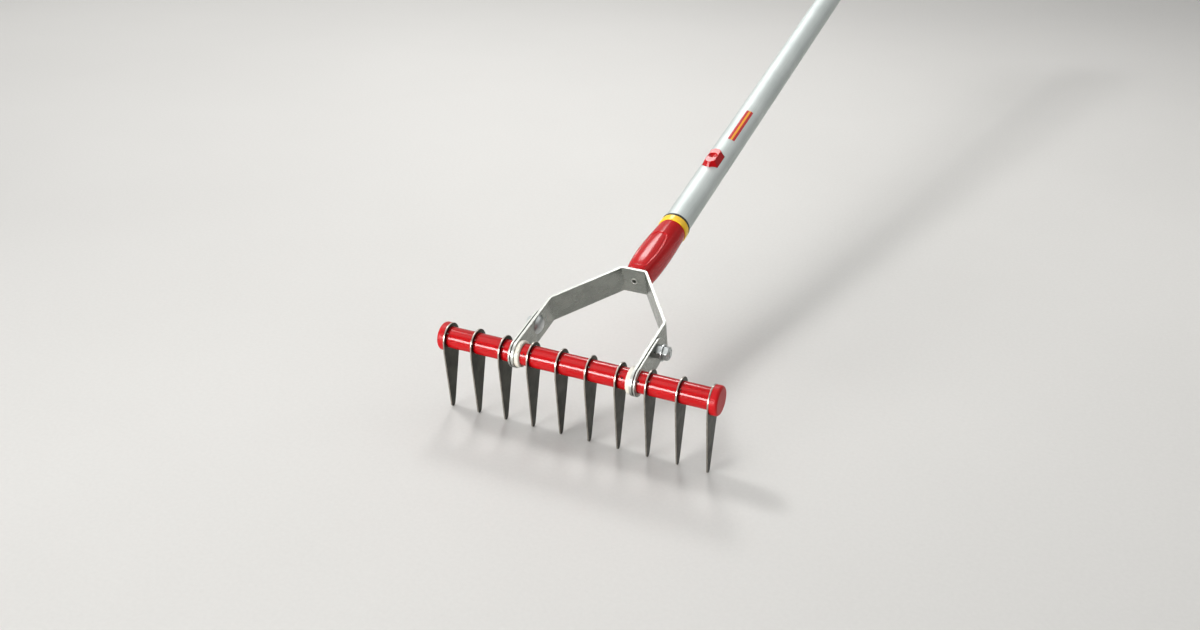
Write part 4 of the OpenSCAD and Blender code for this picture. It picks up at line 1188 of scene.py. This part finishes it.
class RAKE_OT_stage(bpy.types.Operator):
    """Build the floor, the lights and the camera"""
    bl_idname = "rake.stage"
    bl_label = "Stage"

    def execute(self, context):
        s = context.scene.rake_stage
        level = TINE[0].z - s.floor_drop
        mesh = bpy.data.meshes.new("floor")
        corners = [(x * s.floor_half, y * s.floor_half, level)
                   for x, y in ((-1, -1), (1, -1), (1, 1), (-1, 1))]
        mesh.from_pydata(corners, [], [(0, 1, 2, 3)])
        mesh.materials.append(bpy.data.materials["pale_floor"])
        shown("floor", mesh)
        self.lights(s)
        self.sky(context, s)
        self.camera(context, s)
        return {"FINISHED"}

    def lights(self, s):
        """Panels of light round the head, each with its power, size, distance and direction."""
        aim = Vector((0.02, 0.05, 0.03))
        for name, power, size, away, way in (
                ("key", s.key, (0.7, 0.7), 4.0, (-0.60, 0.20, 0.775)),
                ("front_strip", s.front, (1.4, 0.6), 2.2, (-0.37, -0.915, 0.16)),
                ("left_panel", s.left, (1.8, 1.8), 2.3, (-0.60, 0.66, 0.45)),
                ("back_panel", s.back, (2.4, 1.4), 2.3, (0.10, 0.53, 0.84)),
                ("right_panel", s.right, (1.2, 1.2), 2.3, (0.60, 0.58, 0.55)),
                ("side_panel", s.side, (0.9, 0.9), 2.3, (0.81, 0.05, 0.58)),
                ("spot_panel", s.spot, (0.36, 0.36), 2.0, (-0.32, 0.685, 0.655)),
                ("panel", s.panel, (1.6, 1.4), 2.5, (-0.37, -0.30, 0.88))):
            data = bpy.data.lights.new(name, "AREA")
            data.shape = "RECTANGLE"
            data.size, data.size_y = size
            data.energy = power
            lamp = shown(name, data)
            lamp.location = aim + away * Vector(way)
            lamp.rotation_euler = Vector(way).to_track_quat("Z", "Y").to_euler()
            lamp.visible_camera = False
        bpy.data.lights["front_strip"].spread = s.front_beam

    def sky(self, context, s):
        """Even light from all round, and a pale background for what is seen or mirrored past the floor."""
        world = bpy.data.worlds.new("studio")
        world.use_nodes = True
        tree = world.node_tree
        even = feed(tree, tree.nodes["Background"], {"Color": colour("f4f6f8"), "Strength": s.sky})
        pale = add(tree, "ShaderNodeBackground", {"Color": colour("eeeeec"), "Strength": s.backdrop})
        ray = add(tree, "ShaderNodeLightPath").outputs
        seen = ray["Is Camera Ray"]
        for kind in ("Is Glossy Ray", "Is Transmission Ray"):
            seen = add(tree, "ShaderNodeMath", {0: seen, 1: ray[kind]}, operation="MAXIMUM").outputs[0]
        mixed = add(tree, "ShaderNodeMixShader", {0: seen, 1: even.outputs[0], 2: pale.outputs[0]})
        feed(tree, tree.nodes["World Output"], {"Surface": mixed.outputs[0]})
        context.scene.world = world

    def camera(self, context, s):
        """The photograph's camera, from its angles, distance and lens."""
        level = math.cos(s.elevation)
        back = Vector((math.sin(s.azimuth) * level, -math.cos(s.azimuth) * level, math.sin(s.elevation)))
        flat = Vector((math.cos(s.azimuth), math.sin(s.azimuth), 0))
        rise = back.cross(flat)
        right = math.cos(s.roll) * flat + math.sin(s.roll) * rise
        up = math.cos(s.roll) * rise - math.sin(s.roll) * flat
        data = bpy.data.cameras.new("view")
        data.lens, data.sensor_width, data.sensor_fit = s.lens, 36, "HORIZONTAL"
        data.clip_start, data.clip_end = 0.05, 50
        camera = shown("view", data)
        place = s.shift_right * right + s.shift_up * up + s.distance * back
        camera.matrix_world = Matrix.Translation(place) @ Matrix((right, up, back)).transposed().to_4x4()
        context.scene.camera = camera
        context.scene.view_settings.view_transform = "Standard"


class RAKE_PT_panel(bpy.types.Panel):
    """The rake's sizes and building steps"""
    bl_idname = "RAKE_PT_panel"
    bl_label = "Thatch rake"
    bl_space_type = "VIEW_3D"
    bl_region_type = "UI"
    bl_category = "Rake"

    def draw(self, context):
        for operator in STEPS:
            self.layout.operator(operator.bl_idname)
        for name in GROUPS:
            box = self.layout.box()
            group = getattr(context.scene, name)
            for key in group.bl_rna.properties.keys():
                if key not in ("rna_type", "name"):
                    box.prop(group, key)


GROUPS = {"rake_bar": RakeBarSizes, "rake_yoke": RakeYokeSizes, "rake_socket": RakeSocketSizes,
          "rake_handle": RakeHandleSizes, "rake_stage": RakeStageSettings}
STEPS = (RAKE_OT_finishes, RAKE_OT_bar, RAKE_OT_tines, RAKE_OT_yoke, RAKE_OT_fasteners, RAKE_OT_socket,
         RAKE_OT_handle, RAKE_OT_button, RAKE_OT_stage)


def register():
    """Register the classes and hang the settings on the scene."""
    for cls in (*GROUPS.values(), *STEPS, RAKE_PT_panel):
        bpy.utils.register_class(cls)
    for name, cls in GROUPS.items():
        setattr(bpy.types.Scene, name, bpy.props.PointerProperty(type=cls))


def unregister():
    """Undo what register does."""
    for name in GROUPS:
        delattr(bpy.types.Scene, name)
    for cls in reversed((*GROUPS.values(), *STEPS, RAKE_PT_panel)):
        bpy.utils.unregister_class(cls)


def main():
    """Register the add-on and run its steps in order."""
    register()
    bpy.ops.rake.finishes()
    bpy.ops.rake.bar()
    bpy.ops.rake.tines()
    bpy.ops.rake.yoke()
    bpy.ops.rake.fasteners()
    bpy.ops.rake.socket()
    bpy.ops.rake.handle()
    bpy.ops.rake.button()
    bpy.ops.rake.stage()


if __name__ == "__main__":
    main()
